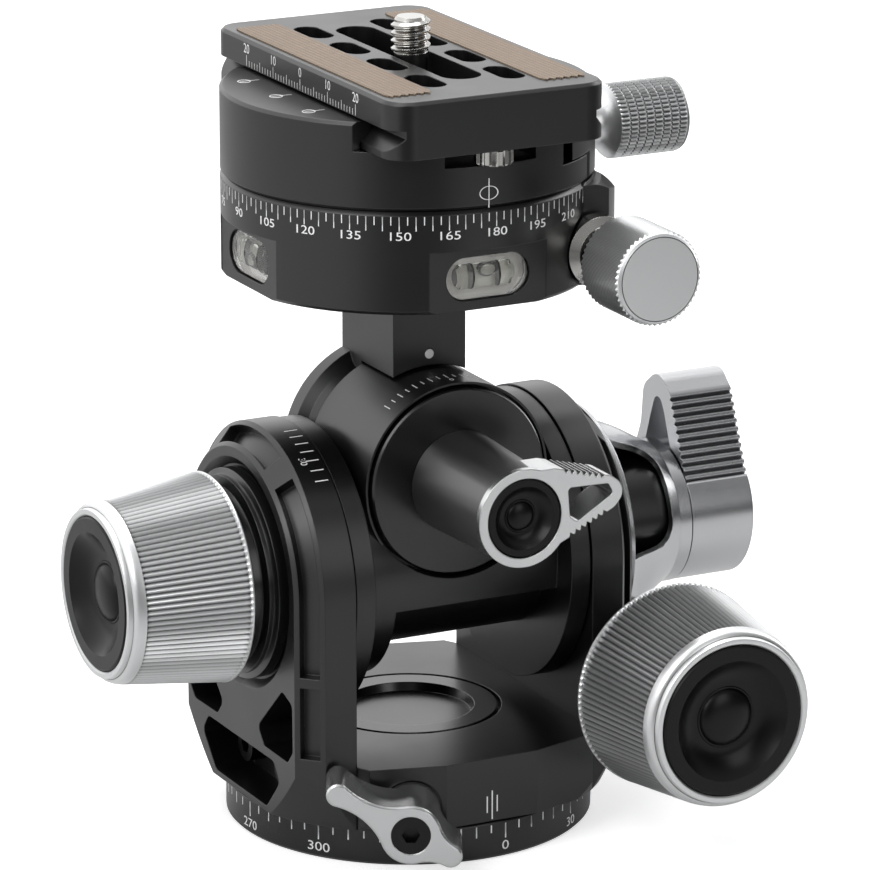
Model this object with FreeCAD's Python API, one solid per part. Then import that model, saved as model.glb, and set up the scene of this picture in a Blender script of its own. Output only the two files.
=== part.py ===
"""Geared tripod head: a yoke that pans on its base, a drum that tilts in the yoke,
a top that rolls in the drum, and a geared panorama clamp with its camera plate.

Millimetres. Origin at the bottom centre of the base, +Z up. The tilt axis is
parallel to X, the roll axis is parallel to Y, and the front is towards -Y.
"""
import FreeCAD, Part
import math
import os

Vec = FreeCAD.Vector
ALONG = {"x": Vec(1, 0, 0), "y": Vec(0, 1, 0), "z": Vec(0, 0, 1)}

# ---------------------------------------------------------------- axes
tilt_z = 44.3               # height of the tilt axis
roll_rise = 16.1            # roll axis above the tilt axis
post_height = 31.1          # roll axis to the underside of the panorama base
running = 0.05              # clearance of a shaft in its bush
play = 0.3                  # clearance between pieces that pass each other
seat = 0.02                 # clearance of a fixed fit

# ---------------------------------------------------------------- base and yoke
base_radius = 30.2
base_height = 6.2
hub_radius = 17.0           # raised hub that the lock shoe presses on
hub_height = 4.8
washer_thickness = 0.4
spindle_radius = 8.0
spindle_flange = 12.0
spindle_flange_height = 2.5
socket_radius = 4.7625      # 3/8 inch tripod thread
socket_depth = 10.5
nut_radius = 12.0
nut_height = 1.8
yoke_web = 1.6              # floor of the yoke under the spindle nut
yoke_top = 17.2
cap_radius = 14.9
cap_height = 2.0
cap_groove = 0.5
cap_dish_radius = 10.4
cap_dish_depth = 1.4
facet_half_width = 8.2      # front facet with the index mark
facet_y = 30.2
lever_facet_x = 20.2        # outer end of the facet that carries the lock lever
lever_facet_y = 26.7
foot_cone_bottom = 32.0     # undercut of the foot: radius at the bottom
foot_cone_slope = 0.522
lever_screw_z = 9.9         # height of the pan lock's screw
pan_lever_turn = 26.0       # direction of the pan lock's axis, from the front to the left
pan_lever_reach = 43.0      # distance of the lever's face from the pan axis
lock_screw_radius = 1.6
lock_shoe_radius = 1.9
lock_shoe_length = 4.0
pan_lever_hub = 4.9
pan_lever_wing_depth = 9.0
pan_lever_left_tip = (-11.5, 6.7)
pan_lever_right_tip = (6.3, -3.6)
pan_lever_left_hollow = 11.0    # radius of the hollow arcs beside the left wing
pan_lever_right_hollow = 6.0
pan_lever_tip_radius = 1.9
pan_lever_edge = 0.3
pan_screw_head = 3.15
pan_screw_head_height = 3.0
pan_screw_sunk = 0.2        # how deep the screw's head lies in the lever's face
pan_screw_socket = 1.45     # radius of the hexagon socket over its corners
socket_depth_share = 0.55   # depth of a hexagon socket as a share of its head

# ---------------------------------------------------------------- yoke arms
arm_inner_x = 21.3
arm_band = 5.5              # width of the round band that carries the tilt scale
arm_chamfer = 3.7
arm_radius = 24.3
pocket_depth = 7.0
collar_flange_radius = 17.2
collar_depth = 1.2          # how far the knob collar reaches into the arm
collar_bore = 9.0
recess_radius = 19.0        # dished recess round the knob collar
recess_depth = 1.4
low_window = [(9.8, 0.9), (14.9, 6.5), (12.6, 9.5)]     # Y, and height above the arm's foot
side_window = [(6.6, 13.7, 1.4), (16.0, 22.4), (19.7, 21.1), (19.8, 13.1), (17.9, 10.9), (9.0, 11.0)]
bevel_pocket_width = 3.4
bevel_pocket_depth = 2.0
bevel_pocket_legs = [(19.0, 30.9), (32.6, tilt_z)]
bevel_pocket_side = 54.0        # sweep of the side pockets round the top, in degrees
bevel_pocket_top = 48.0
bush_radius = 14.0
arm_screw_y = 7.0
arm_screw_z = 12.0
arm_screw_end = 17.4
arm_screw_radius = 1.5
arm_screw_head = 2.75
arm_screw_socket = 1.44     # radius of the hexagon socket over its corners
tunnel_front = -30.0        # tunnel of the tilt worm, along Y
tunnel_back = 20.0

# ---------------------------------------------------------------- drum
drum_radius = 19.1
flange_width = 3.4
flange_gap = 0.3            # between a drum flange and the arm beside it
housing_radius = 16.3
housing_front = -17.7
housing_back = 3.5
front_recess_radius = 15.9
front_plate_radius = 15.4
front_plate_y = -18.4
front_plate_thickness = 3.2
saddle_radius = 17.7        # room behind the housing for the roll flange
undercut_radius = 14.7      # relieved underside of the drum
undercut_top = 40.0
undercut_left = -11.4
axle_radius = 12.0
axle_depth = 5.4            # how deep an axle sits in the drum
wheel_seat_radius = 8.5

# ---------------------------------------------------------------- worm gears
gear_module = 0.6
tilt_teeth = 46
roll_teeth = 40
pan_teeth = 60
tilt_worm_drop = 18.7       # worm axis below the tilt axis
pan_worm_x = 21.5
wheel_width = 5.0
roll_wheel_width = 6.0
mesh_clearance = 0.2        # side play between a thread and a tooth gap
dedendum = 1.2              # depth below the pitch line, in modules
flank_slope = math.tan(math.radians(20))
worm_turns = 8
worm_steps = 16             # facets in one turn of a thread

tilt_wheel_x = 31.3
pan_worm_rise = 6.0         # panorama worm above the underside of its base

# ---------------------------------------------------------------- big knobs
knob_small_radius = 14.9
knob_large_radius = 17.2
knob_length = 18.0
knob_nose = 2.6
knob_rim_radius = 14.0
knob_cap_radius = 12.5
knob_dish_depth = 2.2
knob_dome_radius = 3.6
knob_collar_radius = 14.6
roll_knob_face = -56.0
tilt_knob_face = -53.0
tunnel_radius = 9.0
worm_shaft_radius = 3.0

# ---------------------------------------------------------------- tilt lock side
cover_start = 30.6
cover_end = 46.6
cover_flange_radius = 20.4
cover_flange = 0.7
cover_curve = [(19.2, 31.5), (17.3, 34.0), (15.9, 37.4), (14.0, 41.0), (12.1, 44.4)]
cover_wall = 1.3
sleeve_radius = 11.4
sleeve_end = 42.4
window_start = 31.6         # window of the cover, along X
window_end = 42.3
window_low = -6.0           # its lower and upper edge, in degrees up from the front
window_high = 64.0
window_corner = 3.4
tilt_lever_x = 46.8
tilt_lever_width = 11.5
tilt_lever_hub = 12.0
# outline and opening of the paddle's wing: Y, height above the tilt axis, corner radius
paddle_wing = [(-10.9, 4.9), (-9.75, 6.6), (-3.9, 20.7, 2.6), (0.4, 24.2, 3.6), (5.5, 20.4, 3.4),
               (6.2, 13.7, 6.0), (8.6, 8.3)]
paddle_hole = [(0.7, 21.3, 1.5), (3.2, 15.2, 3.0), (5.0, 9.7, 0.8), (-4.3, 10.5, 0.8), (-1.7, 17.2, 3.0)]
paddle_grooves = 11
paddle_groove_depth = 0.75
clamp_bolt_radius = 3.0

# ---------------------------------------------------------------- roll lock side
tube_base_radius = 8.5
tube_end_radius = 7.7
tube_end_y = -39.8
ring_radius = 8.0
ring_thickness = 1.2
roll_lever_width = 6.5
roll_arm_inner = 1.5
roll_arm_top = (5.4, 7.5)       # where the arm's edges leave the ring: X, and height above the roll axis
roll_arm_low = (7.35, -4.45)
roll_tip_x = 14.8
roll_tip_rise = 2.4
roll_grooves = 7
roll_groove_pitch = 1.1
roll_groove_depth = 0.6
roll_hole_near = 7.6
roll_hole_rounding = 0.7
roll_lever_hub = 5.0
roll_hub_length = 11.0
roll_cap_radius = 6.5
roll_cap_depth = 2.4
roll_cap_dome = 2.4
roll_cap_dish = 1.6

# ---------------------------------------------------------------- post and back flange
post_half_width = 6.5
post_front = -7.8
post_back = 10.9
post_bottom_radius = 16.7
roll_hub_radius = 15.2
roll_hub_front = 3.8
roll_flange_front = 8.0
roll_flange_radius = 17.3
roll_flange_back = 11.0
roll_shaft_radius = 6.0
back_cap_radius = 12.0
back_cap_thickness = 1.2
post_dot_radius = 0.8
post_dot_z = 79.0
post_screw_radius = 1.25
post_screw_head = 2.2
post_screw_head_height = 1.6
post_screw_depth = 9.0
post_screw_places = [(x, y, 0) for x in (-4.4, 4.4) for y in (-5.8, 8.2)]

# ---------------------------------------------------------------- panorama base
pan_base_height = 16.6
disc_radius = 30.1
seam_gap = 0.1
pan_floor = 2.6
pan_cavity_radius = 19.4
journal_radius = 5.0
journal_height = 12.5
bearing_outer = 27.6
bearing_inner = 25.6
bearing_height = 1.2
clamp_hub_radius = 11.0
vial_flat = 28.2            # distance of a vial's flat from the pan axis
vial_flat_height = 10.0
vial_flat_half_width = 10.3
vial_length = 14.7
vial_height = 7.1
vial_depth = 4.2
vial_rise = 5.1             # middle of the levels above the underside of the base
vial_sunk = 0.3
pan_boss_x = 20.3
pan_boss_rise = 7.0
pan_boss_front = -22.4
pan_boss_end = 20.0
pan_boss_radius = 11.2
pan_boss_taper = 1.8
pan_boss_bulge = 3.2        # how far the boss stands out of the disc
pan_knob_face = -45.0
pan_knob_radius = 7.4
pan_knob_length = 12.7
pan_collar_radius = 5.8
pan_shaft_radius = 2.6
pan_worm_end = 15.0

# ---------------------------------------------------------------- clamp and plate
clamp_height = 14.1
channel_depth = 4.6
channel_half_width = 19.2
channel_bevel = 1.2         # height of the straight foot under the dovetail, and of the lip above it
jaw_lip_half_width = 17.2
jaw_end_y = 22.0
moving_jaw_x = 16.5         # inner face of the moving jaw
moving_jaw_gap = 2.4        # room that the jaw has towards the disc's middle
moving_jaw_rise = 4.8       # its lower face above the seam
jaw_foot_x = 20.8
jaw_foot_half_length = 20.3
jaw_foot_gap = 1.2
clamp_screw_rise = 3.9
clamp_screw_radius = 2.5
clamp_knob_radius = 6.2
clamp_knurl_start = 36.2
clamp_knob_outer = 48.9
clamp_neck_radius = 4.0
clamp_neck_length = 3.2     # straight part of the neck, which passes over the worm's boss
clamp_screw_grip = 4.0      # solid end of the knob outside its screw
jaw_pin_y = 9.5
jaw_pin_radius = 1.5
jaw_pin_start = 11.0
jaw_pin_end = 27.0
stop_pocket_half_width = 8.0    # room for the plate's stop screws at both ends

plate_half_width = 19.0
plate_half_length = 33.3
plate_thickness = 9.14
plate_band = 4.48           # height of the band that carries the rule
plate_corner = 4.3
plate_groove_depth = 2.4
plate_slot_x = 6.9
plate_slot_pitch = 13.4
plate_slot_length = 9.6
plate_slot_width = 4.3
screw_slot_length = 43.5
screw_slot_width = 6.8
pad_thickness = 0.6
pad_inner = 9.6
pad_outer = 17.4
pad_half_length = 28.2
pad_depth = 0.4             # how deep a pad lies in the plate
stop_screw_y = 30.0
stop_screw_height = 2.6
stop_screw_radius = 3.1
stop_screw_shank = 2.0
screw_y = -1.2              # place of the camera screw along its slot
screw_head_radius = 4.4
screw_head_room = 4.0
camera_neck_radius = 2.7
camera_thread_radius = 3.175
camera_neck_rise = 0.36     # plain neck above the plate
camera_thread_length = 5.8


# ---------------------------------------------------------------- building blocks
def turned(profile, axis, at=(0, 0, 0)):
    """Solid of revolution of closed (radius, position) points about an axis."""
    points = [Vec(radius, 0, along) for radius, along in profile]
    face = Part.Face(Part.makePolygon(points + points[:1]))
    solid = face.revolve(Vec(0, 0, 0), Vec(0, 0, 1), 360)
    turn = FreeCAD.Rotation(Vec(0, 0, 1), ALONG[axis])
    solid.Placement = FreeCAD.Placement(Vec(*at), turn)
    return solid


def rod(radius, start, end, axis, at=(0, 0, 0)):
    """Plain cylinder between two positions along an axis."""
    length = abs(end - start)
    origin = Vec(*at) + ALONG[axis] * min(start, end)
    return Part.makeCylinder(radius, length, origin, ALONG[axis])


def tube(outer, inner, start, end, axis, at=(0, 0, 0)):
    return rod(outer, start, end, axis, at).cut(rod(inner, start - 1, end + 1, axis, at))


def block(x0, x1, y0, y1, z0, z1):
    return Part.makeBox(x1 - x0, y1 - y0, z1 - z0, Vec(x0, y0, z0))


def on_plane(axis, height, a, b):
    """Point with in-plane coordinates a, b on the plane square to an axis."""
    if axis == "x":
        return Vec(height, a, b)
    if axis == "y":
        return Vec(a, height, b)
    return Vec(a, b, height)


def prism(points, axis, start, end, rounding=0.0):
    """Prism of an outline whose corners may be rounded; a corner is (a, b) or (a, b, radius)."""
    count = len(points)
    edges = []
    last = None
    first = None
    for index, corner in enumerate(points):
        radius = corner[2] if len(corner) > 2 else rounding
        here = Vec(corner[0], corner[1], 0)
        before = Vec(*points[index - 1][:2], 0)
        after = Vec(*points[(index + 1) % count][:2], 0)
        enter, leave, middle = corner_arc(before, here, after, radius)
        enter, leave, middle = [on_plane(axis, start, p.x, p.y) for p in (enter, leave, middle)]
        if last is not None and last.distanceToPoint(enter) > 1e-6:
            edges.append(Part.LineSegment(last, enter).toShape())
        if radius > 0:
            edges.append(Part.Arc(enter, middle, leave).toShape())
        first = first or enter
        last = leave
    if last.distanceToPoint(first) > 1e-6:
        edges.append(Part.LineSegment(last, first).toShape())
    face = Part.Face(Part.Wire(edges))
    return face.extrude(ALONG[axis] * (end - start))


def corner_arc(before, here, after, radius):
    """Tangent points and middle of the arc that rounds a corner."""
    if radius <= 0:
        return here, here, here
    back = (before - here).normalize()
    ahead = (after - here).normalize()
    half = back.getAngle(ahead) / 2
    reach = radius / math.tan(half)
    bisector = (back + ahead).normalize()
    middle = here + bisector * (radius / math.sin(half) - radius)
    return here + back * reach, here + ahead * reach, middle


def mirrored(points):
    """Outline whose right half is given from bottom to top, closed by its mirror image."""
    left = [(-p[0],) + tuple(p[1:]) for p in reversed(points) if p[0] > 0]
    return list(points) + left


def fused(solids):
    return solids[0].fuse(solids[1:]).removeSplitter()


def worm_wheel(teeth, width, bore, lead_angle):
    """Worm wheel about Z with straight-sided gaps slanted to the worm's lead."""
    pitch_radius = gear_module * teeth / 2
    tip_radius = pitch_radius + gear_module
    root_radius = pitch_radius - dedendum * gear_module
    bevel = gear_module
    blank = turned([(bore, -width / 2), (tip_radius - bevel, -width / 2), (tip_radius, bevel - width / 2),
                    (tip_radius, width / 2 - bevel), (tip_radius - bevel, width / 2), (bore, width / 2)], "z")
    root_half = 0.25 * math.pi * gear_module + mesh_clearance / 2 - flank_slope * (pitch_radius - root_radius)
    outer = tip_radius + gear_module
    tip_half = root_half + (outer - root_radius) * flank_slope
    gap = prism([(root_radius, -root_half), (outer, -tip_half), (outer, tip_half), (root_radius, root_half)],
                "z", -width, width)
    gap.rotate(Vec(0, 0, 0), Vec(1, 0, 0), lead_angle)
    gaps = []
    for index in range(teeth):
        copy = gap.copy()
        copy.rotate(Vec(0, 0, 0), Vec(0, 0, 1), 360 * index / teeth)
        gaps.append(copy)
    return blank.cut(Part.makeCompound(gaps))


def worm(pitch_radius, turns):
    """Single-start right-hand thread about Z, centred on z = 0 with a crest towards +X there."""
    lead = math.pi * gear_module
    tip = pitch_radius + gear_module - mesh_clearance / 2
    root = pitch_radius - dedendum * gear_module
    sunk = root - 0.25
    tip_half = 0.25 * lead - flank_slope * (tip - pitch_radius) - mesh_clearance / 2
    root_half = tip_half + (tip - sunk) * flank_slope
    sections = []
    for step in range(turns * worm_steps + 1):
        turn = step / worm_steps - turns / 2
        angle = 2 * math.pi * turn
        rise = lead * turn
        corners = [(sunk, -root_half), (tip, -tip_half), (tip, tip_half), (sunk, root_half)]
        sections.append([Vec(r * math.cos(angle), r * math.sin(angle), rise + z) for r, z in corners])
    faces = [Part.Face(Part.makePolygon(list(reversed(sections[0])) + [sections[0][-1]]))]
    faces.append(Part.Face(Part.makePolygon(sections[-1] + sections[-1][:1])))
    for near, far in zip(sections, sections[1:]):
        for side in range(4):
            a, b = near[side], near[(side + 1) % 4]
            c, d = far[(side + 1) % 4], far[side]
            faces.append(Part.Face(Part.makePolygon([a, b, c, a])))
            faces.append(Part.Face(Part.makePolygon([a, c, d, a])))
    thread = Part.makeSolid(Part.makeShell(faces))
    if thread.Volume < 0:
        thread.reverse()
    return thread, root


def placed(shape, axis, at, spin=0.0):
    """Turn a shape built about Z onto an axis and move it to a place."""
    shape.rotate(Vec(0, 0, 0), Vec(0, 0, 1), spin)
    turn = FreeCAD.Rotation(Vec(0, 0, 1), ALONG[axis])
    shape.Placement = FreeCAD.Placement(Vec(*at), turn).multiply(shape.Placement)
    return shape


nodes = {}


def keep(name, *solids):
    """Store a node: one solid, or a group of separate solids."""
    nodes[name] = solids[0] if len(solids) == 1 else Part.makeCompound(list(solids))


# ---------------------------------------------------------------- shared places
yoke_bottom = base_height + play
hub_top = base_height + hub_height
web_bottom = hub_top + washer_thickness + 2 * running
web_top = web_bottom + yoke_web
spindle_top = web_top + nut_height
cap_bottom = yoke_top - cap_height
arm_outer_x = arm_inner_x + arm_band + arm_chamfer
drum_half = arm_inner_x - flange_gap
flange_radius = arm_radius - play
roll_z = tilt_z + roll_rise
roll_tip_z = roll_z + roll_tip_rise
pan_base_z = roll_z + post_height
pan_seam_z = pan_base_z + pan_base_height
pan_worm_z = pan_base_z + pan_worm_rise
vial_z = pan_base_z + vial_rise
journal_top = pan_base_z + journal_height
clamp_hub_bottom = pan_base_z + pan_floor + play
clamp_top = pan_seam_z + clamp_height
clamp_screw_z = pan_seam_z + clamp_screw_rise
channel_floor = clamp_top - channel_depth
plate_bottom = channel_floor + play
plate_top = plate_bottom + plate_thickness
plate_band_z = plate_top - plate_band
camera_thread_bottom = plate_top + camera_neck_rise
camera_thread_top = camera_thread_bottom + camera_thread_length
tilt = (0, 0, tilt_z)
roll = (0, 0, roll_z)
tilt_wheel_radius = gear_module * tilt_teeth / 2
roll_wheel_radius = gear_module * roll_teeth / 2
pan_wheel_radius = gear_module * pan_teeth / 2
tilt_worm_radius = tilt_worm_drop - tilt_wheel_radius
roll_worm_radius = roll_z - tilt_z - roll_wheel_radius
pan_worm_radius = pan_worm_x - pan_wheel_radius
tilt_worm_at = (tilt_wheel_x, 0, tilt_z - tilt_worm_drop)
pan_worm_at = (pan_worm_x, 0, pan_worm_z)


def lead_angle(worm_radius):
    return math.degrees(math.atan2(gear_module / 2, worm_radius))


# ---------------------------------------------------------------- base
def make_base():
    foot = 0.5
    hub_bore = spindle_radius + seat
    flange_bore = spindle_flange + seat
    keep("base_ring", turned([
        (flange_bore, 0), (base_radius - foot, 0), (base_radius, foot), (base_radius, base_height - foot / 2),
        (base_radius - foot / 2, base_height), (hub_radius, base_height), (hub_radius, hub_top),
        (hub_bore, hub_top), (hub_bore, spindle_flange_height), (flange_bore, spindle_flange_height)], "z"))
    keep("pan_spindle", turned([
        (socket_radius, 0), (spindle_flange, 0), (spindle_flange, spindle_flange_height),
        (spindle_radius, spindle_flange_height), (spindle_radius, spindle_top), (0, spindle_top),
        (0, socket_depth), (socket_radius, socket_depth)], "z"))
    keep("pan_washer", tube(hub_radius - 0.5, spindle_radius + running, hub_top, hub_top + washer_thickness, "z"))
    keep("pan_nut", tube(nut_radius, spindle_radius + seat, web_top + running, spindle_top, "z"))


# ---------------------------------------------------------------- yoke
def foot_trim():
    """What the undercut of the foot takes away."""
    top = yoke_top
    low = foot_cone_bottom - foot_cone_slope
    high = foot_cone_bottom + foot_cone_slope * (top - yoke_bottom)
    return turned([(low, yoke_bottom - 2), (60, yoke_bottom - 2), (60, top), (high, top)], "z")


lever_facet_turn = math.atan2(facet_y - lever_facet_y, lever_facet_x - facet_half_width)
lever_facet_distance = facet_half_width * math.sin(lever_facet_turn) + facet_y * math.cos(lever_facet_turn)
lever_axis_turn = math.radians(pan_lever_turn)
lever_lean = lever_axis_turn - lever_facet_turn
spot_face = lever_facet_distance / math.cos(lever_lean) - (pan_lever_hub + play) * math.tan(lever_lean)
lever_normal = Vec(-math.sin(lever_axis_turn), -math.cos(lever_axis_turn), 0)
lever_place = lever_normal * spot_face + Vec(0, 0, lever_screw_z)
shoe_start = hub_radius + play - spot_face
shoe_end = shoe_start + lock_shoe_length


def lever_frame(shape):
    """Move a shape built about Z, with its back at z = 0, onto the spot face of the lock lever."""
    turn = FreeCAD.Rotation(Vec(1, 0, 0), Vec(0, 0, 1), lever_normal, "ZYX")
    shape.Placement = FreeCAD.Placement(lever_place, turn).multiply(shape.Placement)
    return shape


def make_yoke_base():
    side = arm_inner_x
    outline = [(side, -facet_y + 5.6), (lever_facet_x, -lever_facet_y), (facet_half_width, -facet_y),
               (-facet_half_width, -facet_y), (-lever_facet_x, -lever_facet_y), (-side, -facet_y + 5.6),
               (-side, facet_y - 5.6), (-lever_facet_x, lever_facet_y), (-facet_half_width, facet_y),
               (facet_half_width, facet_y), (lever_facet_x, lever_facet_y), (side, facet_y - 5.6)]
    body = prism(outline, "z", yoke_bottom, yoke_top).cut(foot_trim())
    body = body.cut(rod(hub_radius + play, yoke_bottom, web_bottom, "z"))
    body = body.cut(rod(spindle_radius + running, web_bottom - 1, web_top + 1, "z"))
    body = body.cut(rod(nut_radius + play, web_top, cap_bottom, "z"))
    body = body.cut(rod(cap_radius + cap_groove, cap_bottom, yoke_top, "z"))
    screw_hole = lever_frame(rod(lock_screw_radius + running, shoe_start - 2, 1, "z"))
    shoe_hole = lever_frame(rod(lock_shoe_radius + running, shoe_start - 2, shoe_end + running, "z"))
    spot_room = lever_frame(rod(pan_lever_hub + play, 0, pan_lever_hub, "z"))
    body = body.cut([screw_hole, shoe_hole, spot_room])
    for side_sign in (-1, 1):
        for y in (-arm_screw_y, arm_screw_y):
            body = body.cut(rod(arm_screw_radius + seat, side_sign * arm_screw_end, side_sign * 40, "x", (0, y, arm_screw_z)))
    keep("yoke_base", body)
    slope = 0.5
    cap = turned([
        (0, cap_bottom), (cap_radius, cap_bottom), (cap_radius, yoke_top - 0.3), (cap_radius - 0.3, yoke_top),
        (cap_dish_radius + slope, yoke_top), (cap_dish_radius, yoke_top - cap_dish_depth),
        (0, yoke_top - cap_dish_depth)], "z")
    keep("pan_cap", cap)


def arm_blank():
    """Right arm without its bores: round-topped cheek with bevelled rim, pockets and undercut foot."""
    spring = Vec(arm_inner_x, -arm_radius, tilt_z)
    top = Vec(arm_inner_x, 0, tilt_z + arm_radius)
    other = Vec(arm_inner_x, arm_radius, tilt_z)
    low_front = Vec(arm_inner_x, -arm_radius, yoke_bottom)
    low_back = Vec(arm_inner_x, arm_radius, yoke_bottom)
    wire = Part.Wire([Part.LineSegment(low_front, spring).toShape(), Part.Arc(spring, top, other).toShape(),
                      Part.LineSegment(other, low_back).toShape(), Part.LineSegment(low_back, low_front).toShape()])
    arm = Part.Face(wire).extrude(Vec(arm_outer_x - arm_inner_x, 0, 0))
    rim = [e for e in arm.Edges if e.BoundBox.XMin > arm_outer_x - 0.01 and e.BoundBox.ZMax > yoke_bottom + 1]
    arm = arm.makeChamfer(arm_chamfer, rim)
    arm = arm.cut(foot_trim())
    return arm.cut(arm_windows() + bevel_pockets())


def arm_windows():
    """Pockets in the outer face: one low trapezoid and a pair beside it, with ribs between."""
    floor = arm_outer_x - pocket_depth
    low = mirrored([(y, yoke_bottom + rise) for y, rise in low_window])
    pockets = [prism(low, "x", floor, arm_outer_x + 1, 1.6)]
    for sign in (-1, 1):
        outline = [(sign * p[0], yoke_bottom + p[1]) + tuple(p[2:]) for p in side_window]
        pockets.append(prism(outline, "x", floor, arm_outer_x + 1, 1.2))
    return pockets


def bevel_pockets():
    """Shallow pockets in the bevelled rim: straight ones on the legs, curved ones round the top."""
    middle = arm_inner_x + arm_band + arm_chamfer / 2
    slant = math.sqrt(2)
    half = bevel_pocket_width / 2
    depth = bevel_pocket_depth
    # section of the pocket in (x, outward) with its mouth on the bevel
    centre_r = arm_radius - arm_chamfer / 2
    section = []
    for across, inward in ((-half, -1), (half, -1), (half, depth), (-half, depth)):
        x = middle + (across - inward) / slant
        r = centre_r - (across + inward) / slant
        section.append((r, x))
    shapes = [rim_pocket(section, -bevel_pocket_top / 2, bevel_pocket_top)]
    for sign, start in ((-1, 90 - bevel_pocket_side), (1, -90)):
        legs = []
        for low, high in bevel_pocket_legs:
            face = Part.Face(Part.makePolygon([Vec(x, sign * r, low) for r, x in section + section[:1]]))
            legs.append(face.extrude(Vec(0, 0, high - low)))
        shapes.append(legs[0])
        shapes.append(fused([legs[1], rim_pocket(section, start, bevel_pocket_side)]))
    return shapes


def rim_pocket(section, start, sweep):
    """Curved pocket round the top, from an angle off the vertical and over a sweep."""
    face = Part.Face(Part.makePolygon([Vec(x, 0, r) for r, x in section + section[:1]]))
    face.rotate(Vec(0, 0, 0), Vec(1, 0, 0), start)
    curved = face.revolve(Vec(0, 0, 0), Vec(1, 0, 0), sweep)
    curved.translate(Vec(0, 0, tilt_z))
    return curved


def arm_screws(sign):
    screws = []
    floor = arm_outer_x - pocket_depth
    for y in (-arm_screw_y, arm_screw_y):
        at = (0, y, arm_screw_z)
        head = rod(arm_screw_head, floor, floor + 3, "x", at)
        hexagon = Part.makePolygon([Vec(floor + 3, y + arm_screw_socket * math.cos(math.radians(60 * k)),
                                        arm_screw_z + arm_screw_socket * math.sin(math.radians(60 * k)))
                                    for k in range(7)])
        screw = head.fuse(rod(arm_screw_radius, arm_screw_end, floor, "x", at))
        screw = screw.cut(Part.Face(hexagon).extrude(Vec(-1.6, 0, 0)))
        if sign < 0:
            screw = screw.mirror(Vec(0, 0, 0), Vec(1, 0, 0))
        screws.append(screw)
    return screws


def screw_clearance():
    return [rod(arm_screw_radius + seat, 0, 60, "x", (0, y, arm_screw_z)) for y in (-arm_screw_y, arm_screw_y)]


def make_arms():
    blank = arm_blank().cut(screw_clearance())
    bore = rod(bush_radius + seat, arm_inner_x - 1, arm_outer_x + 1, "x", tilt)
    recess = turned([(0, arm_outer_x - recess_depth), (recess_radius - recess_depth, arm_outer_x - recess_depth),
                     (recess_radius, arm_outer_x), (recess_radius, arm_outer_x + 1), (0, arm_outer_x + 1)], "x", tilt)
    left = blank.cut([bore, recess]).mirror(Vec(0, 0, 0), Vec(1, 0, 0))
    keep("left_arm", left)
    pocket_radius = tilt_wheel_radius + gear_module + play
    wheel_pocket = rod(pocket_radius, tilt_wheel_x - wheel_width / 2 - play, tilt_wheel_x + wheel_width / 2 + play,
                       "x", tilt)
    boss = rod(tunnel_radius, tunnel_front, tunnel_back, "y", tilt_worm_at)
    lead_in = turned([(tunnel_radius, tunnel_front), (tunnel_radius + 2, tunnel_front + 6),
                      (tunnel_radius + 2, tunnel_front)], "y", tilt_worm_at)
    boss = boss.cut(lead_in)
    boss = boss.cut(block(-60, arm_inner_x, -60, 60, 0, 60))
    tunnel = rod(tilt_worm_radius + gear_module + play, tunnel_front - 1, tunnel_back + 1, "y", tilt_worm_at)
    small_bore = rod(bush_radius + seat, arm_inner_x - 1, arm_outer_x, "x", tilt)
    sleeve_room = rod(sleeve_radius + play, tilt_wheel_x, arm_outer_x + tunnel_radius * 2, "x", tilt)
    right = blank.fuse(boss).removeSplitter().cut([small_bore, wheel_pocket, sleeve_room, tunnel])
    keep("right_arm", right)
    keep("arm_screws", *(arm_screws(-1) + arm_screws(1)))


def make_bushes():
    web_end = tilt_wheel_x - wheel_width / 2 - play
    inner = axle_radius + running
    keep("right_bush", tube(bush_radius, inner, arm_inner_x, web_end, "x", tilt))
    keep("left_bush", tube(bush_radius, inner, -(arm_outer_x - recess_depth), -arm_inner_x, "x", tilt))
    bore = worm_shaft_radius + running
    outer = tilt_worm_radius + gear_module + play - seat
    front = tube(outer, bore, tunnel_front, tunnel_front + 6, "y", tilt_worm_at)
    back = rod(outer, tunnel_back - 6, tunnel_back, "y", tilt_worm_at)
    back = back.cut(rod(bore, tunnel_back - 7, tunnel_back - 1, "y", tilt_worm_at))
    keep("tilt_worm_bushes", front, back)


# ---------------------------------------------------------------- tilt lock side
def cover_window():
    """Window of the cover: a sector about the tilt axis with two rounded corners."""
    inner, outer = sleeve_radius - 1, cover_flange_radius + 1
    corners = [(inner, window_start), (outer, window_start), (outer, window_end), (inner, window_end)]
    face = Part.Face(Part.makePolygon([Vec(x, -r, 0) for r, x in corners + corners[:1]]))
    face.rotate(Vec(0, 0, 0), Vec(1, 0, 0), -window_high)
    sector = face.revolve(Vec(0, 0, 0), Vec(1, 0, 0), window_high - window_low)
    ends = [e for e in sector.Edges if e.BoundBox.XMin > window_end - 0.01 and isinstance(e.Curve, Part.Line)]
    sector = sector.makeFillet(window_corner, ends)
    sector.translate(Vec(0, 0, tilt_z))
    return sector


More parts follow.
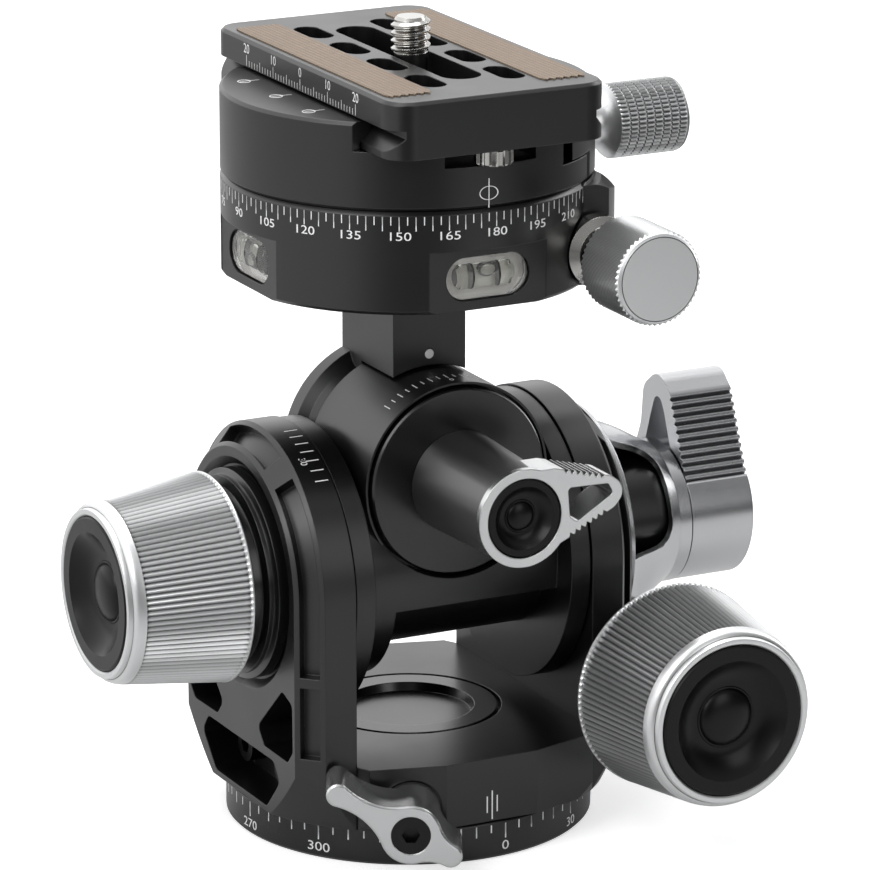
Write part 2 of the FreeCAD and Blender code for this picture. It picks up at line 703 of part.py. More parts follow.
def make_side_cover():
    """Turned cover with a flange, a hollow-curved wall and a band at its end."""
    curve = Part.BSplineCurve()
    points = [Vec(r, 0, x) for r, x in cover_curve]
    curve.interpolate(points)
    start, end = points[0], points[-1]
    wall_end = sleeve_end + play
    corners = [end, Vec(end.x, 0, cover_end), Vec(clamp_bolt_radius + play, 0, cover_end),
               Vec(clamp_bolt_radius + play, 0, cover_start), Vec(cover_flange_radius, 0, cover_start),
               Vec(cover_flange_radius, 0, cover_start + cover_flange), start]
    edges = [curve.toShape()] + [Part.LineSegment(p, q).toShape() for p, q in zip(corners, corners[1:])]
    solid = Part.Face(Part.Wire(edges)).revolve(Vec(0, 0, 0), Vec(0, 0, 1), 360)
    inner = [(r - cover_wall, x) for r, x in cover_curve if x < wall_end]
    hollow = turned([(0, cover_start - 1), (inner[0][0], cover_start - 1)] + inner
                    + [(sleeve_radius + play, wall_end), (0, wall_end)], "z")
    cover = placed(solid.cut(hollow), "x", tilt)
    boss = rod(tunnel_radius + play / 3, tunnel_front - 1, tunnel_back + 1, "y", tilt_worm_at)
    keep("side_cover", cover.cut([boss, cover_window()]))
    start_x = tilt_wheel_x + wheel_width / 2
    keep("lock_sleeve", tube(sleeve_radius, wheel_seat_radius + seat, start_x, sleeve_end, "x", tilt))


def make_tilt_lever():
    """Paddle lever: round hub that blends into a hollow wing with a serrated front face."""
    x0 = tilt_lever_x
    x1 = x0 + tilt_lever_width
    hub = rod(tilt_lever_hub, x0, x1, "x", tilt)
    wing = [(p[0], tilt_z + p[1]) + tuple(p[2:]) for p in paddle_wing]
    lever = fused([hub, prism(wing, "x", x0, x1)])
    hole = prism([(y, tilt_z + rise, corner) for y, rise, corner in paddle_hole], "x", x0 - 1, x1 + 1)
    lever = lever.cut(hole)
    grooves = []
    low, high = [Vec(p[0], p[1], 0) for p in wing[1:3]]
    pitch = (high - low) / paddle_grooves
    inward = Vec(pitch.y, -pitch.x, 0).normalize()
    for k in range(paddle_grooves):
        root = low + pitch * (k + 0.5) + inward * paddle_groove_depth
        back = pitch * 0.36 - inward * (paddle_groove_depth + 0.1)
        ahead = back - pitch * 0.72
        grooves.append(prism([(root.x, root.y), ((root + back).x, (root + back).y),
                              ((root + ahead).x, (root + ahead).y)], "x", x0 - 1, x1 + 1))
    lever = lever.cut(Part.makeCompound(grooves))
    socket = rod(7.2, x1 - 5, x1 + 1, "x", tilt)
    bore = rod(clamp_bolt_radius + seat, x0 - 1, x1, "x", tilt)
    keep("tilt_lever", lever.cut([socket, bore]))
    keep("tilt_lever_cap", turned([(0, x1 - 1.2), (7.1, x1 - 1.2), (7.1, x1 - 0.2), (5.6, x1 - 0.2),
                                   (3.2, x1 - 0.8), (0, x1 - 0.8)], "x", tilt))
    bolt = fused([rod(clamp_bolt_radius, tilt_wheel_x - 8, x1 - 5, "x", tilt), rod(5.5, x1 - 5, x1 - 1.9, "x", tilt)])
    keep("tilt_clamp_bolt", bolt)


# ---------------------------------------------------------------- drum
def make_drum():
    barrel = rod(drum_radius, -drum_half, drum_half, "x", tilt)
    flanges = [rod(flange_radius, s * (drum_half - flange_width), s * drum_half, "x", tilt) for s in (-1, 1)]
    housing = rod(housing_radius, housing_front, housing_back, "y", roll)
    body = fused([barrel, housing])
    inner_left = -(drum_half - flange_width)
    relief = tube(40, undercut_radius, undercut_left, -inner_left, "x", tilt)
    relief = relief.common(block(-60, 60, -60, 60, 0, undercut_top))
    saddle = rod(saddle_radius, housing_back, 60, "y", roll)
    saddle = saddle.common(block(inner_left, -inner_left, -60, 60, 0, 120))
    body = body.cut([relief, saddle])
    body = fused([body] + flanges)
    recess_depth_y = front_plate_y + front_plate_thickness
    recess = rod(front_recess_radius, -60, recess_depth_y, "y", roll)
    wheel_room = roll_wheel_radius + gear_module + play
    cavity = rod(wheel_room, -roll_wheel_width / 2 - play, housing_back + 1, "y", roll)
    shaft_bore = rod(roll_shaft_radius + 1.5 + seat, -40, 0, "y", roll)
    worm_bore = rod(roll_worm_radius + gear_module + play, -drum_half - 1, 12, "x", tilt)
    end_bore = rod(worm_shaft_radius + running, 0, 13, "x", tilt)
    axle_bores = [rod(axle_radius + seat, s * (drum_half - axle_depth), s * 40, "x", tilt) for s in (-1, 1)]
    body = body.cut([recess, cavity, shaft_bore, worm_bore, end_bore] + axle_bores)
    keep("drum_body", body)
    keep("roll_bush", tube(roll_shaft_radius + 1.5, roll_shaft_radius + running, recess_depth_y,
                           -roll_wheel_width / 2 - play, "y", roll))


def make_axles():
    inner = -(drum_half - axle_depth)
    out = -(arm_outer_x + 0.3)
    bush_bore = worm_shaft_radius + 2.0
    keep("left_axle", turned([
        (bush_bore + seat, inner), (axle_radius, inner), (axle_radius, out - 1.0),
        (bush_bore + seat, out - 1.0)], "x", tilt))
    keep("roll_worm_bush", turned([
        (worm_shaft_radius + running, inner), (bush_bore, inner), (bush_bore, out - 1.0),
        (worm_shaft_radius + running, out - 1.0)], "x", tilt))
    face = roll_knob_face + knob_nose + knob_length
    keep("axle_collar", turned([
        (axle_radius + seat, out + collar_depth), (collar_flange_radius, out + collar_depth),
        (collar_flange_radius, out - 0.6), (collar_flange_radius - 1, out - 1.0),
        (collar_flange_radius - 1, out - 1.8), (knob_collar_radius, out - 2.2),
        (knob_collar_radius, face + 1.0), (collar_bore, face + 1.0), (collar_bore, out - 1.0),
        (axle_radius + seat, out - 1.0)], "x", tilt))
    start = drum_half - axle_depth
    wheel_face = tilt_wheel_x - wheel_width / 2
    end = sleeve_end
    keep("right_axle", turned([
        (clamp_bolt_radius + running, start), (axle_radius, start), (axle_radius, wheel_face),
        (wheel_seat_radius, wheel_face), (wheel_seat_radius, end), (clamp_bolt_radius + running, end)], "x", tilt))
    wheel = worm_wheel(tilt_teeth, wheel_width, wheel_seat_radius + seat, -lead_angle(tilt_worm_radius))
    keep("tilt_worm_wheel", placed(wheel, "x", (tilt_wheel_x, 0, tilt_z)))


def make_front_plate():
    outer = front_plate_radius
    back = front_plate_y + front_plate_thickness
    edge = 0.3
    hole = roll_shaft_radius + running
    keep("front_plate", turned([
        (hole, back), (outer, back), (outer, front_plate_y + edge), (outer - edge, front_plate_y),
        (hole, front_plate_y)], "y", roll))


# ---------------------------------------------------------------- ribbed worm knobs
def knob_profile(face, bore, end):
    """Turned body of a ribbed knob: polished nose ring, tapered grip and hollow back."""
    nose = face + knob_nose
    return [(knob_cap_radius + seat, face + 0.2), (knob_rim_radius - 0.4, face + 0.2), (knob_rim_radius, face + 0.8),
            (knob_small_radius, nose), (knob_large_radius, end), (knob_large_radius - 1.4, end),
            (knob_large_radius - 1.4, end - 1.0), (bore, end - 1.0), (bore, face + 5.0),
            (knob_cap_radius + seat, face + 5.0)]


def cap_profile(face, radius, dome, depth, back):
    """Dished black cap with a domed button in its middle."""
    floor = face + depth
    return [(0, back), (radius, back), (radius, face + 0.3), (radius - 0.3, face), (radius - 1.6, face),
            (radius - 3.4, face + depth * 0.55), (dome + 1.2, floor), (dome, floor), (dome * 0.75, floor - depth * 0.3),
            (dome * 0.4, floor - depth * 0.42), (0, floor - depth * 0.45)]


def make_knobs():
    bore = worm_shaft_radius + seat
    end = roll_knob_face + knob_nose + knob_length
    keep("roll_knob", turned(knob_profile(roll_knob_face, bore, end), "x", tilt))
    keep("roll_knob_cap", turned(
        cap_profile(roll_knob_face, knob_cap_radius, knob_dome_radius, knob_dish_depth, roll_knob_face + 5), "x", tilt))
    thread, root = worm(roll_worm_radius, worm_turns)
    spindle = rod(root, -8, 8, "x")
    shaft = fused([rod(worm_shaft_radius, roll_knob_face + 5, 12.5, "x"), spindle])
    thread = placed(thread, "x", (0, 0, 0), 0)
    thread.rotate(Vec(0, 0, 0), Vec(1, 0, 0), 180)
    body = shaft.fuse(thread)
    body.translate(Vec(*tilt))
    keep("roll_worm", body)
    end = tilt_knob_face + knob_nose + knob_length
    keep("tilt_knob", turned(knob_profile(tilt_knob_face, bore, end), "y", tilt_worm_at))
    keep("tilt_knob_cap", turned(
        cap_profile(tilt_knob_face, knob_cap_radius, knob_dome_radius, knob_dish_depth, tilt_knob_face + 5), "y",
        tilt_worm_at))
    thread, root = worm(tilt_worm_radius, worm_turns)
    shaft = fused([rod(worm_shaft_radius, tilt_knob_face + 5, tunnel_back - 1.5, "y"), rod(root, -8, 8, "y")])
    thread = placed(thread, "y", (0, 0, 0), 0)
    thread.rotate(Vec(0, 0, 0), Vec(0, 1, 0), -90)
    body = shaft.fuse(thread)
    body.translate(Vec(*tilt_worm_at))
    keep("tilt_worm", body)


# ---------------------------------------------------------------- roll lock lever
def roll_lever_arm(front, back):
    """Flat arm of the front lever: two edges that leave the ring and meet in a round tip."""
    near_top, near_low = [Vec(x, roll_z + rise, 0) for x, rise in (roll_arm_top, roll_arm_low)]
    outline = [(roll_arm_inner, near_top.y), (near_top.x, near_top.y),
               (roll_tip_x + 0.6, roll_tip_z + 2.6, 2.2), (roll_tip_x + 3.6, roll_tip_z + 0.2, 2.4),
               (roll_tip_x + 1.2, roll_tip_z - 2.6, 2.0), (near_low.x, near_low.y),
               (roll_arm_inner, near_low.y - 2.5)]
    return prism(outline, "y", front, back)


def roll_lever_grooves(front, back):
    """Grip grooves along both edges of the arm."""
    top = (Vec(roll_arm_top[0], roll_z + roll_arm_top[1], 0), Vec(roll_tip_x + 0.6, roll_tip_z + 2.6, 0))
    low = (Vec(roll_tip_x + 1.2, roll_tip_z - 2.6, 0), Vec(roll_arm_low[0], roll_z + roll_arm_low[1], 0))
    grooves = []
    for start, end in (top, low):
        along = (end - start).normalize()
        inward = Vec(along.y, -along.x, 0)
        reach = (end - start).Length
        for k in range(roll_grooves):
            mouth = start + along * (reach * 0.2 + k * roll_groove_pitch)
            corners = [mouth + along * 0.5 - inward * 0.1, mouth - along * 0.5 - inward * 0.1,
                       mouth + inward * roll_groove_depth]
            grooves.append(prism([(c.x, c.y) for c in corners], "y", front, back))
    return grooves


def make_roll_lever():
    front = tube_end_y - ring_thickness
    ring = rod(ring_radius, front, tube_end_y, "y", roll)
    arm = roll_lever_arm(front, front + roll_lever_width)
    hub_back = front + roll_hub_length
    hub = rod(roll_lever_hub, front, hub_back, "y", roll)
    lever = fused([ring, arm, hub])
    opening = [(roll_hole_near, roll_z + 4.0), (roll_tip_x + 0.1, roll_tip_z + 1.4),
               (roll_tip_x + 1.0, roll_tip_z - 0.3), (roll_hole_near + 1.7, roll_z - 1.8), (roll_hole_near + 0.4, roll_z - 0.8)]
    hole = prism(opening, "y", front - 1, front + roll_lever_width + 1, roll_hole_rounding)
    socket = rod(roll_cap_radius + seat, front - 1, front + roll_cap_depth, "y", roll)
    bore = rod(clamp_bolt_radius + seat, front, hub_back + 1, "y", roll)
    grooves = Part.makeCompound(roll_lever_grooves(front - 1, front + roll_lever_width + 1))
    keep("roll_lever", lever.cut([hole, socket, bore, grooves]))
    base = front_plate_y - running
    taper = turned([(0, base), (tube_base_radius, base), (tube_end_radius, tube_end_y), (0, tube_end_y)], "y", roll)
    cut_arm = roll_lever_arm(tube_end_y, front + roll_lever_width)
    hollow = rod(roll_lever_hub + seat, tube_end_y - 1, hub_back, "y", roll)
    hollow = hollow.fuse(rod(roll_cap_radius + seat, tube_end_y - 1, front + roll_cap_depth, "y", roll))
    through = rod(clamp_bolt_radius + seat, tube_end_y, 0, "y", roll)
    keep("roll_lever_tube", taper.cut([cut_arm, hollow, through]))
    keep("roll_lever_cap", turned(
        cap_profile(front + 0.1, roll_cap_radius, roll_cap_dome, roll_cap_dish, front + roll_cap_depth), "y", roll))
    keep("roll_clamp_bolt", rod(clamp_bolt_radius, front + roll_cap_depth, front_plate_y + 6, "y", roll))


# ---------------------------------------------------------------- rolling post
def make_post():
    shank = block(-post_half_width, post_half_width, post_front, post_back, roll_z, pan_base_z)
    shank = shank.cut(rod(post_bottom_radius, post_front - 1, roll_hub_front, "y", roll))
    hub = turned([(0, roll_hub_front), (roll_hub_radius, roll_hub_front), (roll_hub_radius, roll_flange_front - 2.6),
                  (roll_hub_radius + 0.6, roll_flange_front - 1.2), (roll_flange_radius, roll_flange_front),
                  (roll_flange_radius, roll_flange_back), (0, roll_flange_back)], "y", roll)
    worm_reach = roll_worm_radius + gear_module + play
    worm_room = tube(roll_hub_radius + 1, roll_rise - worm_reach, roll_hub_front - 1, worm_reach, "y", roll)
    worm_room = worm_room.common(block(-60, 60, -60, 60, 0, roll_z))
    post = fused([shank, hub.cut(worm_room)])
    post = post.cut([rod(roll_shaft_radius + seat, 0, roll_flange_back + 1, "y", roll),
                     rod(back_cap_radius + seat, roll_flange_back - back_cap_thickness, 60, "y", roll)])
    holes = [rod(post_screw_radius + seat, pan_base_z - post_screw_depth, pan_base_z + 1, "z", at)
             for at in post_screw_places]
    dot = rod(post_dot_radius, post_front - 1, post_front + 0.3, "y", (0, 0, post_dot_z))
    keep("top_post", post.cut(holes + [dot]))
    shaft_front = front_plate_y + 0.3
    shaft = rod(roll_shaft_radius, shaft_front, roll_flange_back - back_cap_thickness, "y", roll)
    shaft = shaft.cut(rod(clamp_bolt_radius + running, shaft_front - 1, front_plate_y + 8, "y", roll))
    keep("roll_shaft", shaft)
    keep("back_cap", rod(back_cap_radius, roll_flange_back - back_cap_thickness, roll_flange_back, "y", roll))
    wheel = worm_wheel(roll_teeth, roll_wheel_width, roll_shaft_radius + seat, -lead_angle(roll_worm_radius))
    keep("roll_worm_wheel", placed(wheel, "y", roll))


# ---------------------------------------------------------------- panorama base
def make_pan_base():
    edge = 0.6
    body = turned([(0, pan_base_z), (disc_radius - edge, pan_base_z), (disc_radius, pan_base_z + edge),
                   (disc_radius, pan_seam_z - edge), (disc_radius - edge, pan_seam_z), (0, pan_seam_z)], "z")
    nose = pan_boss_radius - pan_boss_taper
    boss = turned([(0, pan_boss_front), (nose, pan_boss_front), (pan_boss_radius, pan_boss_front + 6.4),
                   (pan_boss_radius, pan_boss_end - 6), (nose, pan_boss_end), (0, pan_boss_end)],
                  "y", (pan_boss_x, 0, pan_base_z + pan_boss_rise))
    reach = disc_radius + pan_boss_bulge
    boss = boss.common(rod(reach, pan_base_z, pan_seam_z, "z"))
    neck_sweep = tube(reach + 1, disc_radius, clamp_screw_z - clamp_neck_radius - play, pan_seam_z + 1, "z")
    body = fused([body, boss.cut(neck_sweep)])
    flat_low = pan_base_z - 1
    flat_top = pan_base_z + vial_flat_height
    front_flat = block(-vial_flat_half_width, vial_flat_half_width, -60, -vial_flat, flat_low, flat_top)
    left_flat = block(-60, -vial_flat, -vial_flat_half_width, vial_flat_half_width, flat_low, flat_top)
    cavity = rod(pan_cavity_radius, pan_base_z + pan_floor, pan_seam_z + 1, "z")
    tunnel = rod(pan_worm_radius + gear_module + play, pan_boss_front - 1, pan_worm_end, "y", pan_worm_at)
    collar_room = rod(pan_collar_radius + play, -60, pan_boss_front, "y", pan_worm_at)
    body = body.cut([front_flat, left_flat, cavity, tunnel, collar_room])
    journal = rod(journal_radius, pan_base_z + pan_floor - 0.5, journal_top, "z")
    body = fused([body, journal])
    body = body.cut([vial_cut("front", seat, 1), vial_cut("left", seat, 1)])
    groove = tube(bearing_outer + seat, bearing_inner - seat, pan_seam_z - bearing_height, pan_seam_z + 1, "z")
    head_top = pan_base_z + pan_floor - running
    head_seat = head_top - post_screw_head_height
    for at in post_screw_places:
        body = body.cut([rod(post_screw_radius + seat, pan_base_z - 1, head_seat, "z", at),
                         rod(post_screw_head + seat, head_seat, head_top + 1, "z", at)])
    keep("pan_base", body.cut(groove))
    keep("level_vials", vial_cut("front", 0, -vial_sunk), vial_cut("left", 0, -vial_sunk))
    keep("pan_bearing", tube(bearing_outer, bearing_inner, pan_seam_z - bearing_height, pan_seam_z + seam_gap / 2, "z"))
    keep("post_screws", *[fused([rod(post_screw_radius, pan_base_z - post_screw_depth + 0.5, head_seat, "z", at),
                                 rod(post_screw_head, head_seat, head_top, "z", at)]) for at in post_screw_places])


def vial_cut(side, clearance, proud):
    """Pill-shaped level window, let into its flat; its face stands proud of the flat or lies below it."""
    half_l = vial_length / 2 + clearance
    half_h = vial_height / 2 + clearance
    outline = [(half_l, vial_z - half_h, half_h - 0.01), (half_l, vial_z + half_h, half_h - 0.01),
               (-half_l, vial_z + half_h, half_h - 0.01), (-half_l, vial_z - half_h, half_h - 0.01)]
    if side == "front":
        return prism(outline, "y", -vial_flat - proud, -vial_flat + vial_depth + clearance)
    return prism(outline, "x", -vial_flat - proud, -vial_flat + vial_depth + clearance)


def make_pan_worm():
    thread, root = worm(pan_worm_radius, worm_turns)
    front = pan_knob_face + pan_knob_length
    shaft = fused([rod(pan_shaft_radius, front - 6, pan_worm_end - play, "y"), rod(root, -8, 8, "y")])
    thread = placed(thread, "y", (0, 0, 0), 0)
    thread.rotate(Vec(0, 0, 0), Vec(0, 1, 0), 180)
    body = shaft.fuse(thread)
    body.translate(Vec(*pan_worm_at))
    keep("pan_worm", body)
    outer = pan_worm_radius + gear_module + play - seat
    bore = pan_shaft_radius + running
    keep("pan_worm_bush", tube(outer, bore, pan_boss_front + 0.5, -10, "y", pan_worm_at),
         tube(outer, bore, 10, pan_worm_end, "y", pan_worm_at))
    keep("pan_worm_collar", turned([
        (pan_shaft_radius + seat, pan_boss_front - 0.3), (outer + 0.4, pan_boss_front - 0.3),
        (pan_collar_radius, pan_boss_front - 0.9), (pan_collar_radius, pan_boss_front - 3.4),
        (4.4, pan_boss_front - 4.4), (4.0, front + 0.1), (pan_shaft_radius + seat, front + 0.1)], "y", pan_worm_at))
    face = pan_knob_face
    keep("pan_knob", turned([
        (0, face), (pan_knob_radius - 0.9, face), (pan_knob_radius - 0.6, face + 0.4), (pan_knob_radius, face + 0.5),
        (pan_knob_radius, front - 0.7), (pan_knob_radius - 0.7, front), (pan_shaft_radius + seat, front),
        (pan_shaft_radius + seat, front - 6), (0, front - 6)], "y", pan_worm_at))


# ---------------------------------------------------------------- clamp
def jaw_channel():
    """Dovetail channel that takes the camera plate."""
    outline = mirrored([(channel_half_width, channel_floor), (channel_half_width, channel_floor + channel_bevel),
                        (jaw_lip_half_width, clamp_top - channel_bevel), (jaw_lip_half_width, clamp_top + 1)])
    return prism(outline, "y", -60, 60)


def moving_jaw_room(gap, side_gap, below):
    """Room of the moving jaw: its upper part reaches right across, its foot is shorter."""
    rise = pan_seam_z + moving_jaw_rise - below
    upper = block(moving_jaw_x - gap, 60, -60, 60, rise, 140)
    foot_half = jaw_foot_half_length + side_gap
    foot = block(jaw_foot_x - gap, 60, -foot_half, foot_half, pan_seam_z + play - 2 * below, 140)
    return fused([upper, foot])


def clamp_disc():
    bottom = pan_seam_z + seam_gap
    edge = 0.5
    disc = turned([(0, bottom), (disc_radius - edge, bottom), (disc_radius, bottom + edge),
                   (disc_radius, clamp_top - edge), (disc_radius - edge, clamp_top), (0, clamp_top)], "z")
    ends = [block(-60, moving_jaw_x - moving_jaw_gap, s * jaw_end_y if s > 0 else -60, 60 if s > 0 else s * jaw_end_y,
                  channel_floor, 140) for s in (-1, 1)]
    return disc.cut([jaw_channel()] + ends)


def make_clamp():
    bottom = pan_seam_z + seam_gap
    hub = rod(clamp_hub_radius, clamp_hub_bottom, bottom + 1, "z")
    body = fused([clamp_disc(), hub])
    cuts = [rod(journal_radius + running, clamp_hub_bottom - 1, journal_top + running, "z"),
            moving_jaw_room(moving_jaw_gap, jaw_foot_gap, play),
            rod(clamp_screw_radius + running, 2, 40, "x", (0, 0, clamp_screw_z))]
    cuts += [rod(jaw_pin_radius + running, 8, 40, "x", (0, s * jaw_pin_y, clamp_screw_z)) for s in (-1, 1)]
    stop_room = plate_bottom - stop_screw_height - play
    for s in (-1, 1):
        low_y, high_y = sorted((s * (jaw_end_y - 0.4), s * 60))
        cuts.append(block(-stop_pocket_half_width, stop_pocket_half_width, low_y, high_y, stop_room, 140))
    keep("clamp_body", body.cut(cuts))
    wheel = worm_wheel(pan_teeth, roll_wheel_width, clamp_hub_radius + seat, -lead_angle(pan_worm_radius))
    keep("pan_worm_wheel", placed(wheel, "z", (0, 0, pan_worm_z)))


def make_moving_jaw():
    jaw = clamp_disc().common(moving_jaw_room(0, 0, 0))
    cuts = [rod(clamp_screw_radius + play, 0, 60, "x", (0, 0, clamp_screw_z))]
    cuts += [rod(jaw_pin_radius + seat, 0, jaw_pin_end, "x", (0, s * jaw_pin_y, clamp_screw_z)) for s in (-1, 1)]
    keep("moving_jaw", jaw.cut(cuts))
    keep("jaw_pins", *[rod(jaw_pin_radius, jaw_pin_start, jaw_pin_end, "x", (0, s * jaw_pin_y, clamp_screw_z))
                       for s in (-1, 1)])
    at = (0, 0, clamp_screw_z)
    hidden = clamp_knob_outer - clamp_screw_grip
    neck_start = disc_radius + play / 2
    neck_end = disc_radius + clamp_neck_length
    flare = clamp_knurl_start - neck_end
    keep("clamp_screw", rod(clamp_screw_radius, 4, hidden, "x", at))
    keep("clamp_knob", turned([
        (clamp_screw_radius + seat, neck_start), (clamp_neck_radius, neck_start), (clamp_neck_radius, neck_end),
        (clamp_neck_radius + 0.2 * flare, neck_end + flare / 2), (clamp_knob_radius, clamp_knurl_start),
        (clamp_knob_radius, clamp_knob_outer - 0.8), (clamp_knob_radius - 0.8, clamp_knob_outer), (0, clamp_knob_outer),
        (0, hidden), (clamp_screw_radius + seat, hidden)], "x", at))


# ---------------------------------------------------------------- camera plate
def long_slot(x, y, length, width, low, high):
    half_l = length / 2
    half_w = width / 2
    return prism([(x - half_w, y - half_l, half_w - 0.01), (x + half_w, y - half_l, half_w - 0.01),
                  (x + half_w, y + half_l, half_w - 0.01), (x - half_w, y + half_l, half_w - 0.01)], "z", low, high)


def make_plate():
    corner = plate_corner
    w = plate_half_width
    h = plate_half_length
    slab = prism([(w, -h), (w, h), (-w, h), (-w, -h)], "z", plate_bottom, plate_top, corner)
    top_edges = [e for e in slab.Edges if e.BoundBox.ZMin > plate_top - 0.01]
    slab = slab.makeChamfer(0.5, top_edges)
    neck = w - plate_groove_depth
    groove_low = channel_floor + channel_bevel + 0.2
    groove_mid = groove_low + plate_groove_depth
    cuts = []
    for s in (-1, 1):
        cuts.append(prism([(s * (w + 1), groove_low - 1), (s * neck, groove_mid), (s * neck, plate_band_z),
                           (s * (w + 1), plate_band_z)], "y", -60, 60))
        for k in range(4):
            cuts.append(long_slot(s * plate_slot_x, (k - 1.5) * plate_slot_pitch, plate_slot_length, plate_slot_width,
                                  plate_bottom - 1, plate_top + 1))
    cuts.append(long_slot(0, 0, screw_slot_length, screw_slot_width, plate_bottom - 1, plate_top + 1))
    wide = 2 * (screw_head_radius + play)
    cuts.append(long_slot(0, 0, screw_slot_length + wide - screw_slot_width, wide, plate_bottom - 1,
                          plate_bottom + screw_head_room))
    for s in (-1, 1):
        cuts.append(rod(stop_screw_shank + seat, plate_bottom - 1, plate_bottom + 5, "z", (0, s * stop_screw_y, 0)))
        cuts.append(pad_outline(s, plate_top - pad_depth, plate_top + 1, running))
    keep("camera_plate", slab.cut(cuts))
    keep("plate_pads", *[pad_outline(s, plate_top - pad_depth, plate_top + pad_thickness - pad_depth, 0)
                         for s in (-1, 1)])
    stops = []
    for s in (-1, 1):
        at = (0, s * stop_screw_y, 0)
        stops.append(fused([rod(stop_screw_shank, plate_bottom - 0.5, plate_bottom + 4.5, "z", at),
                            rod(stop_screw_radius, plate_bottom - stop_screw_height, plate_bottom, "z", at)]))
    keep("stop_screws", *stops)
    low = plate_bottom + 0.5
    shoulder = plate_bottom + screw_head_room - play / 2
    keep("camera_screw", turned([(0, low), (screw_head_radius, low), (screw_head_radius, shoulder),
                                 (camera_neck_radius, shoulder), (camera_neck_radius, camera_thread_bottom),
                                 (camera_thread_radius, camera_thread_bottom),
                                 (camera_thread_radius, camera_thread_top - 0.6),
                                 (camera_thread_radius - 0.6, camera_thread_top), (0, camera_thread_top)],
                                "z", (0, screw_y, 0)))


def pad_outline(sign, low, high, clearance):
    inner = pad_inner - clearance
    outer = pad_outer + clearance
    half = pad_half_length + clearance
    return prism([(sign * inner, -half), (sign * outer, -half), (sign * outer, half), (sign * inner, half)],
                 "z", low, high, 1.5)


# ---------------------------------------------------------------- pan lock lever
def necked_wing(tip, hollow, low, high):
    """Wing of the lock lever: a round tip that flows into the hub through two hollow arcs."""
    length = math.hypot(*tip)
    ahead = Vec(tip[0], tip[1], 0) / length
    across = Vec(-ahead.y, ahead.x, 0)
    end = ahead * length
    near_reach = pan_lever_hub + hollow
    far_reach = pan_lever_tip_radius + hollow
    along = (near_reach ** 2 - far_reach ** 2 + length ** 2) / (2 * length)
    aside = math.sqrt(near_reach ** 2 - along ** 2)
    rims = []
    for side in (1, -1):
        centre = ahead * along + across * (side * aside)
        near = centre * (pan_lever_hub / near_reach)
        far = end + (centre - end) * (pan_lever_tip_radius / far_reach)
        waist = centre + ((near + far) / 2 - centre).normalize() * hollow
        rims.append((near, waist, far))
    point = end + ahead * pan_lever_tip_radius
    (near, waist, far), (last_near, last_waist, last_far) = rims
    edges = [Part.Arc(near, waist, far).toShape(), Part.Arc(far, point, last_far).toShape(),
             Part.Arc(last_far, last_waist, last_near).toShape(), Part.LineSegment(last_near, near).toShape()]
    wing = Part.Face(Part.Wire(edges)).extrude(Vec(0, 0, high - low))
    wing.translate(Vec(0, 0, low))
    return wing


def make_pan_lever():
    """Two-winged lever, built flat with the spot face at z = 0."""
    front = pan_lever_reach - spot_face
    head_seat = front - pan_screw_head_height - pan_screw_sunk
    wing_back = front - pan_lever_wing_depth
    lever = fused([rod(pan_lever_hub, play, front, "z"),
                   necked_wing(pan_lever_left_tip, pan_lever_left_hollow, wing_back, front),
                   necked_wing(pan_lever_right_tip, pan_lever_right_hollow, wing_back, front)])
    rim = [e for e in lever.Edges if e.BoundBox.ZMin > front - 0.01]
    lever = lever.makeChamfer(pan_lever_edge, rim)
    lever = lever.cut([rod(pan_screw_head + seat, head_seat, front + 1, "z"),
                       rod(lock_screw_radius + seat, -1, front, "z")])
    keep("pan_lock_lever", lever_frame(lever))
    head_top = head_seat + pan_screw_head_height
    corners = [Vec(pan_screw_socket * math.cos(math.radians(60 * k)),
                   pan_screw_socket * math.sin(math.radians(60 * k)), head_top) for k in range(7)]
    socket = Part.Face(Part.makePolygon(corners)).extrude(Vec(0, 0, -pan_screw_head_height * socket_depth_share))
    screw = fused([rod(pan_screw_head, head_seat, head_top, "z"),
                   rod(lock_screw_radius, shoe_end + 2 * running, head_seat, "z")])
    keep("pan_lever_screw", lever_frame(screw.cut(socket)))
    keep("pan_lock_shoe", lever_frame(rod(lock_shoe_radius, shoe_start, shoe_end, "z")))


def main():
    os.makedirs("parts", exist_ok=True)
    make_base()
    make_yoke_base()
    make_arms()
    make_bushes()
    make_side_cover()
    make_tilt_lever()
    make_drum()
    make_axles()
    make_front_plate()
    make_knobs()
    make_roll_lever()
    make_post()
    make_pan_base()
    make_pan_worm()
    make_clamp()
    make_moving_jaw()
    make_plate()
    make_pan_lever()
    for name, shape in nodes.items():
        solids = shape.Solids
        print(name, len(solids), round(shape.Volume, 1), shape.isValid())
        shape.exportStep("parts/" + name + ".step")
    print(len(nodes), "nodes")


main()
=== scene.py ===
# Geared tripod head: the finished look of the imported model.
# Metres, +Z up, the front lever points to -Y and the paddle lever to +X.
import bpy
import math
from mathutils import Matrix, Vector


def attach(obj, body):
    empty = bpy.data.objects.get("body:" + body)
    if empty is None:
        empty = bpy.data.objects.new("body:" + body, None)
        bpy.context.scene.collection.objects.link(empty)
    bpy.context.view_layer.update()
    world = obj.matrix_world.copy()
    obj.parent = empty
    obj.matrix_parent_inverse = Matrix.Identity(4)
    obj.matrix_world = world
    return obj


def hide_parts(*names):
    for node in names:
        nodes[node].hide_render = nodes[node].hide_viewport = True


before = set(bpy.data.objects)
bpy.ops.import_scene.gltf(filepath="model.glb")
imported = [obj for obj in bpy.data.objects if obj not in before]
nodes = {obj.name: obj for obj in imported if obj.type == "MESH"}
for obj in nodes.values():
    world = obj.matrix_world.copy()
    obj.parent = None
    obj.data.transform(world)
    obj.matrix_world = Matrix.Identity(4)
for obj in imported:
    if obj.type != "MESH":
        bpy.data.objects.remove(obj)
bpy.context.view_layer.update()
mm = 0.001
